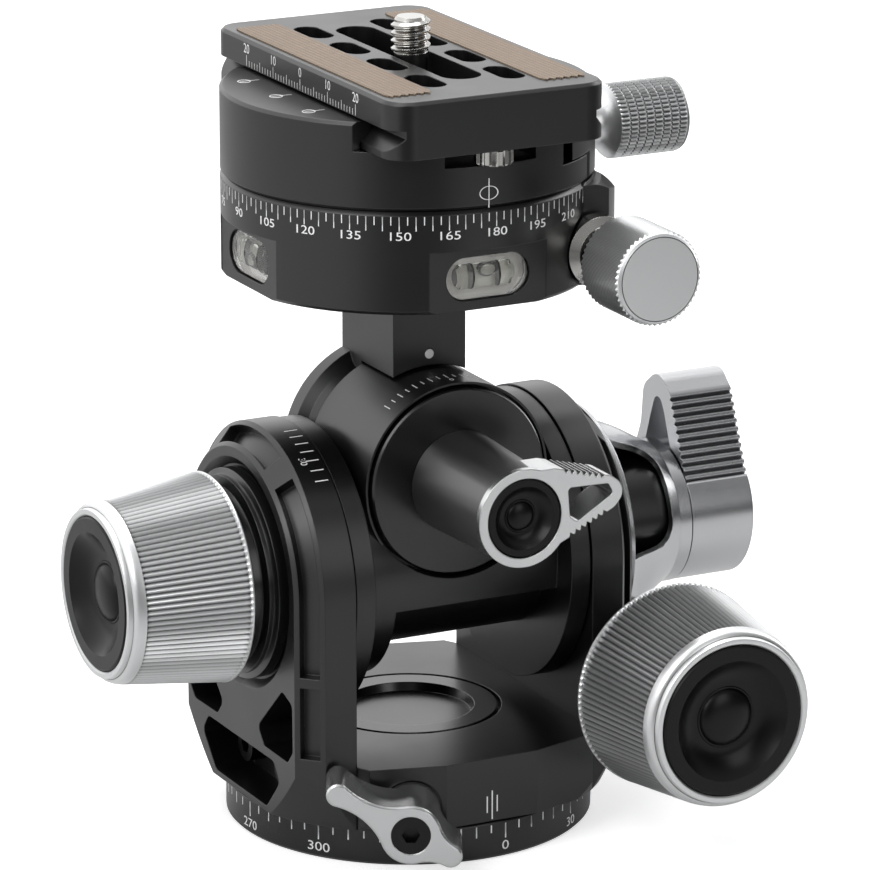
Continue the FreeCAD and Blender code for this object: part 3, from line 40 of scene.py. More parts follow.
print("frame loaded:", len(nodes), "nodes")

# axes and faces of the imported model, in mm
tiltAxis = (0, 0, 44.3)
rollAxis = (0, 0, 60.4)
tiltWormAxis = (31.3, 0, 25.6)
panWormAxis = (21.5, 0, 97.5)
clampScrewZ = 112.0

# turns that bring a piece drawn along Z to face each way
outward = {
    "-x": (0, -math.pi / 2, 0),
    "+x": (0, math.pi / 2, 0),
    "-y": (math.pi / 2, 0, 0),
}


# colours and materials

def toLinear(hexValue):
    parts = [int(hexValue[i:i + 2], 16) / 255 for i in (1, 3, 5)]
    return [c / 12.92 if c <= 0.04045 else ((c + 0.055) / 1.055) ** 2.4 for c in parts] + [1.0]


def addNode(tree, kind, settings=None, links=None):
    node = tree.nodes.new(kind)
    for key, value in (settings or {}).items():
        if isinstance(key, int) or key in node.inputs:
            node.inputs[key].default_value = value
        else:
            setattr(node, key, value)
    for key, source in (links or {}).items():
        tree.links.new(source, node.inputs[key])
    return node


def newMaterial(name):
    material = bpy.data.materials.new(name)
    material.use_nodes = True
    tree = material.node_tree
    tree.nodes.clear()
    return material, tree


# shared by the solid finishes; sizes in mm, and the groove values say how open a spot is where the painted
# groove shade is complete and where it begins
surface = {"cloud": 14, "cloudLow": 0.3, "cloudHigh": 0.7, "grainDepth": 0.01, "anisotropy": 0.9,
           "anisotropyTurn": 0.25, "grooveReach": 0.7, "grooveDark": 0.4, "grooveOpen": 0.92}


def metalFinish(finish):
    # grain size in mm turns into a noise scale on Object coordinates; "edge" rounds the edges in the shading
    material, tree = newMaterial(finish["name"])
    place = addNode(tree, "ShaderNodeTexCoord")
    grain = addNode(tree, "ShaderNodeTexNoise", {"Scale": 1 / (finish["grain"] * mm), "Detail": 2.0},
                    {"Vector": place.outputs["Object"]})
    cloud = addNode(tree, "ShaderNodeTexNoise", {"Scale": 1 / (surface["cloud"] * mm), "Detail": 3.0},
                    {"Vector": place.outputs["Object"]})
    spread = finish["spread"]
    rough = addNode(tree, "ShaderNodeMapRange",
                    {"From Min": surface["cloudLow"], "From Max": surface["cloudHigh"],
                     "To Min": finish["roughness"] - spread, "To Max": finish["roughness"] + spread},
                    {"Value": cloud.outputs["Fac"]})
    edge = addNode(tree, "ShaderNodeBevel", {"samples": 4, "Radius": finish["edge"] * mm})
    bump = addNode(tree, "ShaderNodeBump", {"Strength": finish["bump"], "Distance": surface["grainDepth"] * mm},
                   {"Height": grain.outputs["Fac"], "Normal": edge.outputs["Normal"]})
    shader = addNode(tree, "ShaderNodeBsdfPrincipled",
                     {"Base Color": toLinear(finish["color"]), "Metallic": finish["metallic"]},
                     {"Roughness": rough.outputs["Result"], "Normal": bump.outputs["Normal"]})
    if "ior" in finish:
        shader.inputs["IOR"].default_value = finish["ior"]
    if "lathe" in finish:
        # fine turning marks round the piece's own axis draw the highlights out along it
        tangent = addNode(tree, "ShaderNodeTangent", {"direction_type": "RADIAL", "axis": finish["lathe"]})
        shader.inputs["Anisotropic"].default_value = surface["anisotropy"]
        shader.inputs["Anisotropic Rotation"].default_value = surface["anisotropyTurn"]
        tree.links.new(tangent.outputs["Tangent"], shader.inputs["Tangent"])
    if "paintedGrooveShade" in finish:
        # painted shade: the base colour is darkened in the grooves, where little light gets down
        reach = addNode(tree, "ShaderNodeAmbientOcclusion",
                        {"samples": 6, "Distance": surface["grooveReach"] * mm})
        depth = addNode(tree, "ShaderNodeMapRange",
                        {"From Min": surface["grooveDark"], "From Max": surface["grooveOpen"],
                         "To Min": finish["paintedGrooveShade"], "To Max": 1.0}, {"Value": reach.outputs["AO"]})
        paintedShadeColour = addNode(tree, "ShaderNodeVectorMath", {"operation": "SCALE", 0: toLinear(finish["color"])[:3]},
                       {"Scale": depth.outputs["Result"]})
        tree.links.new(paintedShadeColour.outputs["Vector"], shader.inputs["Base Color"])
    addNode(tree, "ShaderNodeOutputMaterial", None, {"Surface": shader.outputs["BSDF"]})
    return material


# black hard-anodised aluminium, bead blasted first: the dyed oxide reflects like dark glass with a soft sheen
blackAnodised = metalFinish({"name": "blackAnodisedAluminium", "color": "#0b0b0c", "metallic": 0.0, "ior": 1.6,
                             "roughness": 0.33, "spread": 0.03, "grain": 0.12, "bump": 0.25, "edge": 0.25})
# the same on turned and faced pieces: a little glossier
blackTurned = metalFinish({"name": "blackAnodisedTurned", "color": "#0a0a0b", "metallic": 0.0, "ior": 1.6,
                           "roughness": 0.26, "spread": 0.02, "grain": 0.2, "bump": 0.12, "edge": 0.2})
# the lever tube: turned with a coarser feed
blackTube = metalFinish({"name": "blackAnodisedTube", "color": "#0b0b0c", "metallic": 0.0, "ior": 2.1,
                         "roughness": 0.35, "spread": 0.02, "grain": 0.2, "bump": 0.1, "edge": 0.2, "lathe": "Y"})
# clear-anodised aluminium, fine blasted: pale grey and silky, part of the light scatters in the oxide
silverAnodised = metalFinish({"name": "clearAnodisedAluminium", "color": "#cdcecf", "metallic": 0.95,
                              "roughness": 0.22, "spread": 0.03, "grain": 0.12, "bump": 0.3, "edge": 0.3})
# the same where it is ribbed or knurled, with crisp edges; its paler colour is painted light that brightens the
# grips' shaded sides, and its grooves get painted shade
silverRibbedPaintedLightAndShade = metalFinish({"name": "clearAnodisedRibbedPaintedLightAndShade", "color": "#d8d9da", "metallic": 0.85,
                            "roughness": 0.34, "spread": 0.03, "grain": 0.12, "bump": 0.15, "edge": 0.04,
                            "paintedGrooveShade": 0.03})
# the cover and the paddle: a darker copy of the same silver, painted shade, with more painted shade in their
# hollows
silverPaintedShade = metalFinish({"name": "clearAnodisedPaintedShade", "color": "#c0c1c3", "metallic": 1.0,
                          "roughness": 0.22, "spread": 0.03, "grain": 0.12, "bump": 0.25, "edge": 0.2,
                          "paintedGrooveShade": 0.45})
# turned stainless steel
stainless = metalFinish({"name": "turnedStainlessSteel", "color": "#b7b6b3", "metallic": 1.0,
                         "roughness": 0.2, "spread": 0.03, "grain": 0.2, "bump": 0.1, "edge": 0.08})
# black-oxide screw steel: dull, slightly oily
blackOxide = metalFinish({"name": "blackOxideSteel", "color": "#2f2f30", "metallic": 1.0,
                          "roughness": 0.36, "spread": 0.04, "grain": 0.1, "bump": 0.3, "edge": 0.06})
# machined bronze of bushes and worm wheels
bronze = metalFinish({"name": "machinedBronze", "color": "#9a6f3c", "metallic": 1.0,
                      "roughness": 0.34, "spread": 0.05, "grain": 0.2, "bump": 0.2, "edge": 0.08})
# moulded black ABS caps with a fine spark-eroded texture
mouldedAbs = metalFinish({"name": "mouldedBlackAbs", "color": "#060607", "metallic": 0.0, "ior": 1.33,
                          "roughness": 0.3, "spread": 0.03, "grain": 0.15, "bump": 0.2, "edge": 0.15})
# white acetal slide washer
acetal = metalFinish({"name": "whiteAcetal", "color": "#dedcd5", "metallic": 0.0, "ior": 1.48,
                      "roughness": 0.45, "spread": 0.03, "grain": 0.3, "bump": 0.1, "edge": 0.1})
# filled engraving: flat white enamel
engravedPaint = metalFinish({"name": "whiteEnamelFill", "color": "#f0f0f0", "metallic": 0.0, "ior": 1.5,
                             "roughness": 0.5, "spread": 0.02, "grain": 0.1, "bump": 0.1, "edge": 0.02})


# shared by the clear finishes; not fully transparent, so a level doesn't go black inside
clear = {"ripple": 2.5, "rippleDepth": 0.02, "rippleStrength": 0.15, "transmission": 0.95}


def clearFinish(name, hexValue, roughness, ior):
    material, tree = newMaterial(name)
    place = addNode(tree, "ShaderNodeTexCoord")
    ripple = addNode(tree, "ShaderNodeTexNoise", {"Scale": 1 / (clear["ripple"] * mm), "Detail": 1.0},
                     {"Vector": place.outputs["Object"]})
    bump = addNode(tree, "ShaderNodeBump",
                   {"Strength": clear["rippleStrength"], "Distance": clear["rippleDepth"] * mm},
                   {"Height": ripple.outputs["Fac"]})
    shader = addNode(tree, "ShaderNodeBsdfPrincipled",
                     {"Base Color": toLinear(hexValue), "Roughness": roughness, "IOR": ior,
                      "Transmission Weight": clear["transmission"]}, {"Normal": bump.outputs["Normal"]})
    addNode(tree, "ShaderNodeOutputMaterial", None, {"Surface": shader.outputs["BSDF"]})
    return material


# cast acrylic of the levels, and the spirit inside them
clearAcrylic = clearFinish("clearCastAcrylic", "#ffffff", 0.02, 1.49)
levelSpirit = clearFinish("levelSpirit", "#fcfdf4", 0.0, 1.36)


def padFinish():
    # anti-slip rubber moulded with a fine square grid, 0.85 mm from line to line; the darker line colour is
    # painted shade in the grid's grooves
    pad = {"color": "#857464", "second": "#8b7a69", "line": "#63564a", "cell": 0.85, "groove": 0.16,
           "lineDepth": 0.12, "grit": 0.1, "gritDepth": 0.02}
    material, tree = newMaterial("griddedTanRubber")
    place = addNode(tree, "ShaderNodeTexCoord")
    # the mortar colour of the grid is painted shade in its grooves
    grid = addNode(tree, "ShaderNodeTexBrick",
                   {"offset": 0.0, "Scale": 1 / mm, "Mortar Size": pad["groove"] / 2, "Mortar Smooth": 0.6,
                    "Brick Width": pad["cell"], "Row Height": pad["cell"], "Color1": toLinear(pad["color"]),
                    "Color2": toLinear(pad["second"]), "Mortar": toLinear(pad["line"])},
                   {"Vector": place.outputs["Object"]})
    grit = addNode(tree, "ShaderNodeTexNoise", {"Scale": 1 / (pad["grit"] * mm)},
                   {"Vector": place.outputs["Object"]})
    lines = addNode(tree, "ShaderNodeBump",
                    {"Strength": 0.7, "Distance": pad["lineDepth"] * mm, "invert": True},
                    {"Height": grid.outputs["Fac"]})
    bump = addNode(tree, "ShaderNodeBump", {"Strength": 0.3, "Distance": pad["gritDepth"] * mm},
                   {"Height": grit.outputs["Fac"], "Normal": lines.outputs["Normal"]})
    shader = addNode(tree, "ShaderNodeBsdfPrincipled", {"Roughness": 0.62, "IOR": 1.5},
                     {"Base Color": grid.outputs["Color"], "Normal": bump.outputs["Normal"]})
    addNode(tree, "ShaderNodeOutputMaterial", None, {"Surface": shader.outputs["BSDF"]})
    return material


tanRubber = padFinish()
print("materials made")


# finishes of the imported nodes

nodeFinish = {
    blackAnodised: ["yoke_base", "left_arm", "right_arm", "drum_body", "top_post", "pan_base", "clamp_body",
                    "moving_jaw", "camera_plate"],
    blackTurned: ["base_ring", "pan_cap", "axle_collar", "lock_sleeve", "front_plate", "back_cap", "left_axle",
                  "tilt_worm_wheel"],
    silverPaintedShade: ["side_cover", "tilt_lever"],
    blackTube: ["roll_lever_tube"],
    silverAnodised: ["roll_lever", "roll_knob", "tilt_knob", "pan_knob", "clamp_knob", "pan_lock_lever"],
    stainless: ["pan_spindle", "pan_nut", "right_axle", "tilt_worm", "roll_worm", "pan_worm", "roll_shaft",
                "tilt_clamp_bolt", "roll_clamp_bolt", "clamp_screw", "jaw_pins", "pan_worm_collar",
                "stop_screws", "camera_screw", "pan_bearing"],
    blackOxide: ["arm_screws", "pan_lever_screw", "post_screws"],
    bronze: ["left_bush", "right_bush", "tilt_worm_bushes", "roll_worm_bush", "roll_bush", "pan_worm_bush",
             "roll_worm_wheel", "pan_worm_wheel", "pan_lock_shoe"],
    mouldedAbs: ["roll_knob_cap", "tilt_knob_cap", "tilt_lever_cap", "roll_lever_cap"],
    acetal: ["pan_washer"],
    clearAcrylic: ["level_vials"],
    tanRubber: ["plate_pads"],
}
for finish, names in nodeFinish.items():
    for name in names:
        slots = nodes[name].data.materials
        if len(slots):
            for index in range(len(slots)):
                slots[index] = finish
        else:
            slots.append(finish)
print("node finishes set")


# small helpers for new pieces

def clearSelection():
    if bpy.context.mode != "OBJECT":
        bpy.ops.object.mode_set(mode="OBJECT")
    bpy.ops.object.select_all(action="DESELECT")


def makeActive(piece):
    clearSelection()
    piece.select_set(True)
    bpy.context.view_layer.objects.active = piece


def pickVerts(piece, wanted):
    bpy.ops.object.mode_set(mode="OBJECT")
    mesh = piece.data
    for part in list(mesh.polygons) + list(mesh.edges):
        part.select = False
    for vertex in mesh.vertices:
        vertex.select = wanted(vertex.co)
    bpy.ops.object.mode_set(mode="EDIT")
    bpy.ops.mesh.select_mode(type="VERT")


def settle(piece, turn, centre):
    # turns and moves the piece, then puts its place in its mesh
    makeActive(piece)
    piece.rotation_euler = turn
    piece.location = Vector(centre) * mm
    bpy.ops.object.transform_apply(location=True, rotation=True, scale=True)


def finishPiece(piece, name, body, finish, replaced, smooth):
    # name, material and shading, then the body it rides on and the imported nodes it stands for
    piece.name = name
    piece.data.name = name
    piece.data.materials.clear()
    piece.data.materials.append(finish)
    makeActive(piece)
    if smooth:
        bpy.ops.object.shade_smooth_by_angle(angle=math.radians(smooth))
    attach(piece, body)
    if replaced:
        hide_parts(*replaced)


def joinPieces(pieces):
    makeActive(pieces[0])
    for piece in pieces[1:]:
        piece.select_set(True)
    bpy.ops.object.join()
    return bpy.context.object


def turnProfile(profile, segments):
    # a disc drawn out ring by ring along Z: (radius, height) in mm, closed at both ends
    clearSelection()
    radius, height = profile[0]
    bpy.ops.mesh.primitive_circle_add(vertices=segments, radius=radius * mm, fill_type="NGON",
                                      location=(0, 0, 0))
    piece = bpy.context.object
    bpy.ops.object.mode_set(mode="EDIT")
    bpy.ops.mesh.select_all(action="SELECT")
    bpy.ops.transform.translate(value=(0, 0, height * mm))
    for (r0, z0), (r1, z1) in zip(profile, profile[1:]):
        bpy.ops.mesh.extrude_region_move(TRANSFORM_OT_translate={"value": (0, 0, (z1 - z0) * mm)})
        bpy.ops.transform.resize(value=(r1 / r0, r1 / r0, 1), center_override=(0, 0, z1 * mm))
    bpy.ops.mesh.select_all(action="SELECT")
    bpy.ops.mesh.normals_make_consistent(inside=False)
    bpy.ops.object.mode_set(mode="OBJECT")
    return piece


def angleIndex(co, segments):
    return round(math.atan2(co.y, co.x) / (2 * math.pi) * segments) % segments


def cutGrooves(piece, rows, segments, radius, depth):
    # straight-sided grooves, four segments each: the middle is pushed in fully, the flanks by half
    for rest, share in (((0,), 1.0), ((1, 3), 0.5)):
        pickVerts(piece, lambda co: angleIndex(co, segments) % 4 in rest
                  and min(abs(co.z / mm - row) for row in rows) < 0.005)
        shrink = 1 - share * depth / radius
        bpy.ops.transform.resize(value=(shrink, shrink, 1), center_override=(0, 0, 0))
        bpy.ops.object.mode_set(mode="OBJECT")


# big ribbed knobs

bigKnob = {"smallRadius": 14.9, "largeRadius": 17.2, "length": 20.6, "nose": 2.6, "ribs": 104,
           "grooveDepth": 0.5, "capRadius": 12.5, "bore": 3.05}


def ribbedGrip(knob, facing, centre, name, body, node):
    back = -knob["length"]
    nose = -knob["nose"]
    segments = knob["ribs"] * 4
    low, high = knob["largeRadius"], knob["smallRadius"]
    cap = knob["capRadius"]
    ribBack, ribFront = back + 0.8, nose - 0.35
    # the turned back, the ribbed wall between two rows, the rounded nose, and the bead round the cap
    profile = [(knob["bore"], back + 1.0), (low - 1.4, back + 1.0), (low - 1.4, back), (low - 0.3, back),
               (low, back + 0.3), (low - 0.05, back + 0.5), (low - 0.1, ribBack), (high + 0.1, ribFront),
               (high + 0.05, nose - 0.1), (high - 0.04, nose + 0.3), (high - 0.16, nose + 0.8),
               (high - 0.36, nose + 1.25), (high - 0.66, nose + 1.6), (cap + 1.42, -0.85), (cap + 1.36, -0.9),
               (cap + 1.28, -0.4), (cap + 1.1, -0.08), (cap + 0.72, 0.0), (cap + 0.34, -0.08), (cap + 0.08, -0.3),
               (cap + 0.02, -0.5), (cap + 0.02, -3.0)]
    piece = turnProfile(profile, segments)
    cutGrooves(piece, (ribBack, ribFront), segments, (low + high) / 2, knob["grooveDepth"])
    settle(piece, outward[facing], centre)
    finishPiece(piece, name, body, silverRibbedPaintedLightAndShade, (node,), 25)


def dishedCap(cap, facing, centre, name, body, node):
    r, dome, depth = cap["radius"], cap["dome"], cap["depth"]
    dish = r - cap["rim"]
    profile = [(r, -cap["thick"]), (r, -0.3), (r - 0.3, 0.0), (dish, 0.0)]
    steps = 7
    span = dish - dome - 0.45
    for step in range(1, steps + 1):     # quarter wave down to the floor of the dish
        share = step / steps
        profile.append((dish - span * share, -depth * math.sin(share * math.pi / 2) ** 0.9))
    profile += [(dome + 0.22, -depth), (dome + 0.12, -depth + 0.14), (dome, -depth + 0.14)]
    for step in range(0, 7):             # low dome in the middle, inside a fine raised ring
        turn = math.radians(5 + 81 * step / 6)
        profile.append(((dome - 0.1) * math.cos(turn), -depth + cap["rise"] * math.sin(turn)))
    piece = turnProfile(profile, 96)
    settle(piece, outward[facing], centre)
    finishPiece(piece, name, body, mouldedAbs, (node,), 28)


bigCap = {"radius": 12.5, "thick": 4.8, "rim": 2.5, "dome": 4.9, "depth": 2.6, "rise": 1.6}
leverCap = {"radius": 6.5, "thick": 2.2, "rim": 1.35, "dome": 2.5, "depth": 1.6, "rise": 0.9}

rollFace = (-56.0, 0, tiltAxis[2])
tiltFace = (tiltWormAxis[0], -53.0, tiltWormAxis[2])
leverFace = (0, -40.9, rollAxis[2])
ribbedGrip(bigKnob, "-x", rollFace, "rollKnobGrip", "roll_knob", "roll_knob")
dishedCap(bigCap, "-x", rollFace, "rollKnobCap", "roll_knob", "roll_knob_cap")
ribbedGrip(bigKnob, "-y", tiltFace, "tiltKnobGrip", "tilt_knob", "tilt_knob")
dishedCap(bigCap, "-y", tiltFace, "tiltKnobCap", "tilt_knob", "tilt_knob_cap")
dishedCap(leverCap, "-y", leverFace, "rollLeverCap", "roll_lever", "roll_lever_cap")
print("big knobs made")


# small knurled knobs

panKnob = {"face": -45.0, "length": 12.7, "radius": 7.4, "columns": 100, "rows": 26, "height": 0.4,
           "bore": 2.65}
clampKnob = {"outer": 48.9, "inner": 30.25, "radius": 6.2, "neck": 4.0, "ribs": 50, "ribDepth": 0.42,
             "knurlStart": 36.2, "rings": 8, "ringWidth": 0.3, "ringDepth": 0.34, "bore": 2.55, "flare": 3.4}


def diamondKnob(knob):
    # every second point of a fine grid is raised, which gives small crossed pyramids
    length = knob["length"]
    r = knob["radius"]
    back = -length
    valley = r - 0.12
    profile = [(knob["bore"], back), (r - 0.7, back), (r - 0.25, back + 0.45)]
    first, last = back + 0.8, -0.75
    for row in range(knob["rows"] + 1):
        profile.append((valley, first + (last - first) * row / knob["rows"]))
    # a bevel and a fine groove round the flat face
    profile += [(valley, -0.5), (r - 0.2, -0.34), (r - 0.58, -0.02), (r - 0.62, -0.16), (r - 0.7, -0.16),
                (r - 0.74, -0.02), (3.0, -0.02)]
    piece = turnProfile(profile, knob["columns"])
    step = (last - first) / knob["rows"]

    def raised(co):
        row = (co.z / mm - first) / step
        return (-0.01 < row < knob["rows"] + 0.01 and co.xy.length > (r - 0.2) * mm
                and (round(row) + angleIndex(co, knob["columns"])) % 2 == 0)

    pickVerts(piece, raised)
    grow = 1 + knob["height"] / r
    bpy.ops.transform.resize(value=(grow, grow, 1), center_override=(0, 0, 0))
    bpy.ops.object.mode_set(mode="OBJECT")
    settle(piece, outward["-y"], (panWormAxis[0], knob["face"], panWormAxis[2]))
    finishPiece(piece, "panKnobGrip", "pan_knob", silverRibbedPaintedLightAndShade, ("pan_knob",), 12)


def tooledKnob(knob):
    # straight ribs all round, cut across by narrow rings; a hollow-curved neck leads to them
    r = knob["radius"]
    outer = knob["outer"]
    first = knob["knurlStart"] - outer
    last = -0.55
    pitch = (last - first) / knob["rings"]
    neck = knob["neck"]
    profile = [(knob["bore"], knob["inner"] - outer), (neck, knob["inner"] - outer)]
    for step in range(7):                # quarter wave up to the knurl
        share = step / 6
        profile.append((neck + (r - 0.25 - neck) * (1 - math.cos(share * math.pi / 2)),
                        first - 0.25 - knob["flare"] * (1 - share) ** 1.2))
    ribRows = []
    for ring in range(knob["rings"]):
        start = first + ring * pitch
        end = start + pitch - knob["ringWidth"]
        profile += [(r, start + 0.02), (r, end - 0.02), (r - knob["ringDepth"], end + 0.04),
                    (r - knob["ringDepth"], end + knob["ringWidth"] - 0.04)]
        ribRows += [start + 0.02, end - 0.02]
    profile += [(r - 0.18, last + 0.08), (r - 0.3, -0.28), (r - 0.75, -0.03), (r - 1.0, 0.0), (3.4, 0.0),
                (3.1, -0.4)]
    segments = knob["ribs"] * 4
    piece = turnProfile(profile, segments)
    cutGrooves(piece, ribRows, segments, r, knob["ribDepth"])
    settle(piece, outward["+x"], (outer, 0, clampScrewZ))
    finishPiece(piece, "clampKnobGrip", "clamp_knob", silverRibbedPaintedLightAndShade, ("clamp_knob",), 25)


diamondKnob(panKnob)
tooledKnob(clampKnob)
print("small knobs made")


# screws

stopScrew = {"radius": 3.1, "flutes": 9, "depth": 0.4, "low": 115.3, "high": 117.9, "y": 30.0, "shank": 2.0,
             "shankLength": 4.5}


def flutedHeads(screw):
    heads = []
    segments = screw["flutes"] * 6
    r, low, high = screw["radius"], screw["low"], screw["high"]
    for side in (-1, 1):
        piece = turnProfile([(r - 0.3, low), (r, low + 0.25), (r, high - 0.25), (r - 0.3, high),
                             (screw["shank"], high), (screw["shank"], high + screw["shankLength"])], segments)
        # three of six segments are drawn in, which leaves one lobe between two flutes
        pickVerts(piece, lambda co: co.xy.length > (r - 0.01) * mm and angleIndex(co, segments) % 6 in (0, 1, 5))
        shrink = 1 - screw["depth"] / r
        bpy.ops.transform.resize(value=(shrink, shrink, 1), center_override=(0, 0, 0))
        settle(piece, (0, 0, 0), (0, side * screw["y"], 0))
        heads.append(piece)
    finishPiece(joinPieces(heads), "stopScrewHeads", "plate", stainless, ("stop_screws",), 25)


cameraScrew = {"y": -1.2, "radius": 3.175, "pitch": 1.27, "low": 127.4, "high": 133.2, "core": 2.6,
               "head": 4.4, "headLow": 118.4, "headHigh": 121.75, "shank": 2.7}


def threadedScrew(screw):
    # one slanted tooth is swept round by a Screw modifier
    clearSelection()
    p = screw["pitch"]
    bpy.ops.mesh.primitive_plane_add(size=p * mm, location=(0, 0, 0))
    thread = bpy.context.object
    tooth = [(screw["core"] - 0.1, -0.48 * p), (screw["radius"], -0.09 * p), (screw["radius"], 0.09 * p),
             (screw["core"] - 0.1, 0.48 * p)]
    ring = list(thread.data.polygons[0].vertices)
    for index, (r, z) in zip(ring, tooth):
        thread.data.vertices[index].co = Vector((r, 0, z)) * mm
    sweep = thread.modifiers.new("thread", "SCREW")
    sweep.angle = 2 * math.pi
    sweep.screw_offset = p * mm
    sweep.iterations = 4
    sweep.steps = 48
    sweep.render_steps = 48
    makeActive(thread)
    bpy.ops.object.modifier_apply(modifier=sweep.name)
    bpy.ops.object.mode_set(mode="EDIT")
    bpy.ops.mesh.select_all(action="SELECT")
    bpy.ops.mesh.normals_make_consistent(inside=False)
    settle(thread, (0, 0, 0), (0, screw["y"], screw["low"] - 0.05))
    profile = [(screw["head"], screw["headLow"]), (screw["head"], screw["headHigh"]),
               (screw["shank"], screw["headHigh"]), (screw["shank"], screw["low"]), (screw["core"], screw["low"]),
               (screw["core"], screw["high"] - 0.5), (screw["core"] - 0.4, screw["high"])]
    core = turnProfile(profile, 48)
    settle(core, (0, 0, 0), (0, screw["y"], 0))
    finishPiece(joinPieces([core, thread]), "cameraScrewThread", "camera_screw", stainless,
                ("camera_screw",), 25)


flutedHeads(stopScrew)
threadedScrew(cameraScrew)
print("screws made")


# pads on the plate

padShape = {"inner": 9.6, "outer": 17.4, "half": 27.7, "teeth": 6, "toothDepth": 0.8, "cornerDepth": 0.9,
            "low": 126.64, "high": 127.24}


def serratedPads(pad):
    halves = []
    columns = pad["teeth"] * 2
    width = pad["outer"] - pad["inner"]
    middle = (pad["outer"] + pad["inner"]) / 2
    for side in (-1, 1):
        clearSelection()
        bpy.ops.mesh.primitive_grid_add(x_subdivisions=columns, y_subdivisions=24, size=1,
                                        location=(side * middle * mm, 0, pad["low"] * mm))
        piece = bpy.context.object
        piece.scale = (width * mm, 2 * pad["half"] * mm, 1)
        bpy.ops.object.transform_apply(location=True, rotation=True, scale=True)

        def tooth(co):
            column = round((abs(co.x) / mm - pad["inner"]) / width * columns)
            return abs(co.y) > (pad["half"] - 0.01) * mm and column % 2 == 1

        pickVerts(piece, tooth)
        stretch = (pad["half"] + pad["toothDepth"]) / pad["half"]
        bpy.ops.transform.resize(value=(1, stretch, 1), center_override=(0, 0, 0))
        pickVerts(piece, lambda co: abs(co.y) > (pad["half"] - 0.01) * mm
                  and not pad["inner"] + 0.1 < abs(co.x) / mm < pad["outer"] - 0.1)
        pull = (pad["half"] - pad["cornerDepth"]) / pad["half"]
        bpy.ops.transform.resize(value=(1, pull, 1), center_override=(0, 0, 0))
        bpy.ops.mesh.select_all(action="SELECT")
        rise = (pad["high"] - pad["low"]) * mm
        bpy.ops.mesh.extrude_region_move(TRANSFORM_OT_translate={"value": (0, 0, rise)})
        bpy.ops.mesh.select_all(action="SELECT")
        bpy.ops.mesh.normals_make_consistent(inside=False)
        bpy.ops.object.mode_set(mode="OBJECT")
        halves.append(piece)
    finishPiece(joinPieces(halves), "griddedPads", "plate", tanRubber, ("plate_pads",), 30)


serratedPads(padShape)
print("pads made")


# engraved scales and numbers

# how deep a filled mark goes below the surface, and how far it stands above it
marks = {"sunk": 0.12, "proud": 0.015}


def markBar(across, along, place):
    # one thin bar that lies on Z-up ground: across X, along Y
    clearSelection()
    bpy.ops.mesh.primitive_cube_add(size=1, location=(0, 0, 0))
    bar = bpy.context.object
    bar.scale = (across * mm, along * mm, (marks["sunk"] + marks["proud"]) * mm)
    bpy.ops.object.transform_apply(location=False, rotation=False, scale=True)
    bar.data.transform(Matrix.Translation((0, 0, (marks["proud"] - marks["sunk"]) / 2 * mm)))
    bar.data.transform(place)
    return bar


def onCylinder(radius, degrees, height):
    # place on an upright cylinder: mark X runs round it, mark Y runs up, mark Z points out
    turn = Matrix.Rotation(math.radians(degrees), 4, "Z")
    return turn @ Matrix.Translation((radius * mm, 0, height * mm)) @ Matrix.Rotation(math.pi / 2, 4, "Z") \
        @ Matrix.Rotation(math.pi / 2, 4, "X")


def tickRing(radius, first, step, count, low, high, width):
    # one bar set on the cylinder and spun round it; a spin turns clockwise, so its angle is negative
    bar = markBar(width, high - low, onCylinder(radius, first, (low + high) / 2))
    makeActive(bar)
    bpy.ops.object.mode_set(mode="EDIT")
    bpy.ops.mesh.select_all(action="SELECT")
    bpy.ops.mesh.spin(steps=count - 1, dupli=True, angle=-math.radians(step * (count - 1)),
                      center=(0, 0, 0), axis=(0, 0, 1))
    bpy.ops.object.mode_set(mode="OBJECT")
    return bar


def engravedText(text, size, place, stretch=1.0):
    clearSelection()
    bpy.ops.object.text_add(location=(0, 0, 0))
    label = bpy.context.object
    label.data.body = text
    label.data.size = size * mm
    label.data.align_x = "CENTER"
    label.data.align_y = "CENTER"
    label.data.extrude = (marks["sunk"] + marks["proud"]) / 2 * mm
    label.data.resolution_u = 3
    bpy.ops.object.convert(target="MESH")
    label = bpy.context.object
    label.data.transform(Matrix.Scale(stretch, 4, (1, 0, 0)))
    label.data.transform(Matrix.Translation((0, 0, (marks["proud"] - marks["sunk"]) / 2 * mm)))
    label.data.transform(place)
    return label


def finishMarks(pieces, name, body):
    piece = joinPieces(pieces)
    piece.location = (0, 0, 0)
    finishPiece(piece, name, body, engravedPaint, (), 0)


# step in degrees, how many, and where each bar starts; all end at the same height
baseScale = {"radius": 30.2, "zero": -85.25, "bars": ((5, 72, 4.4), (10, 36, 3.9), (30, 12, 3.2)), "high": 5.75,
             "width": 0.22, "every": 30, "size": 2.2, "stretch": 1.3, "numberZ": 1.9}
dial = []
for step, count, low in baseScale["bars"]:
    dial.append(tickRing(baseScale["radius"], baseScale["zero"], step, count, low, baseScale["high"],
                         baseScale["width"]))
for number in range(0, 360, baseScale["every"]):
    spot = onCylinder(baseScale["radius"], baseScale["zero"] + number, baseScale["numberZ"])
    dial.append(engravedText(str(number), baseScale["size"], spot, baseScale["stretch"]))
finishMarks(dial, "baseScale", "base")

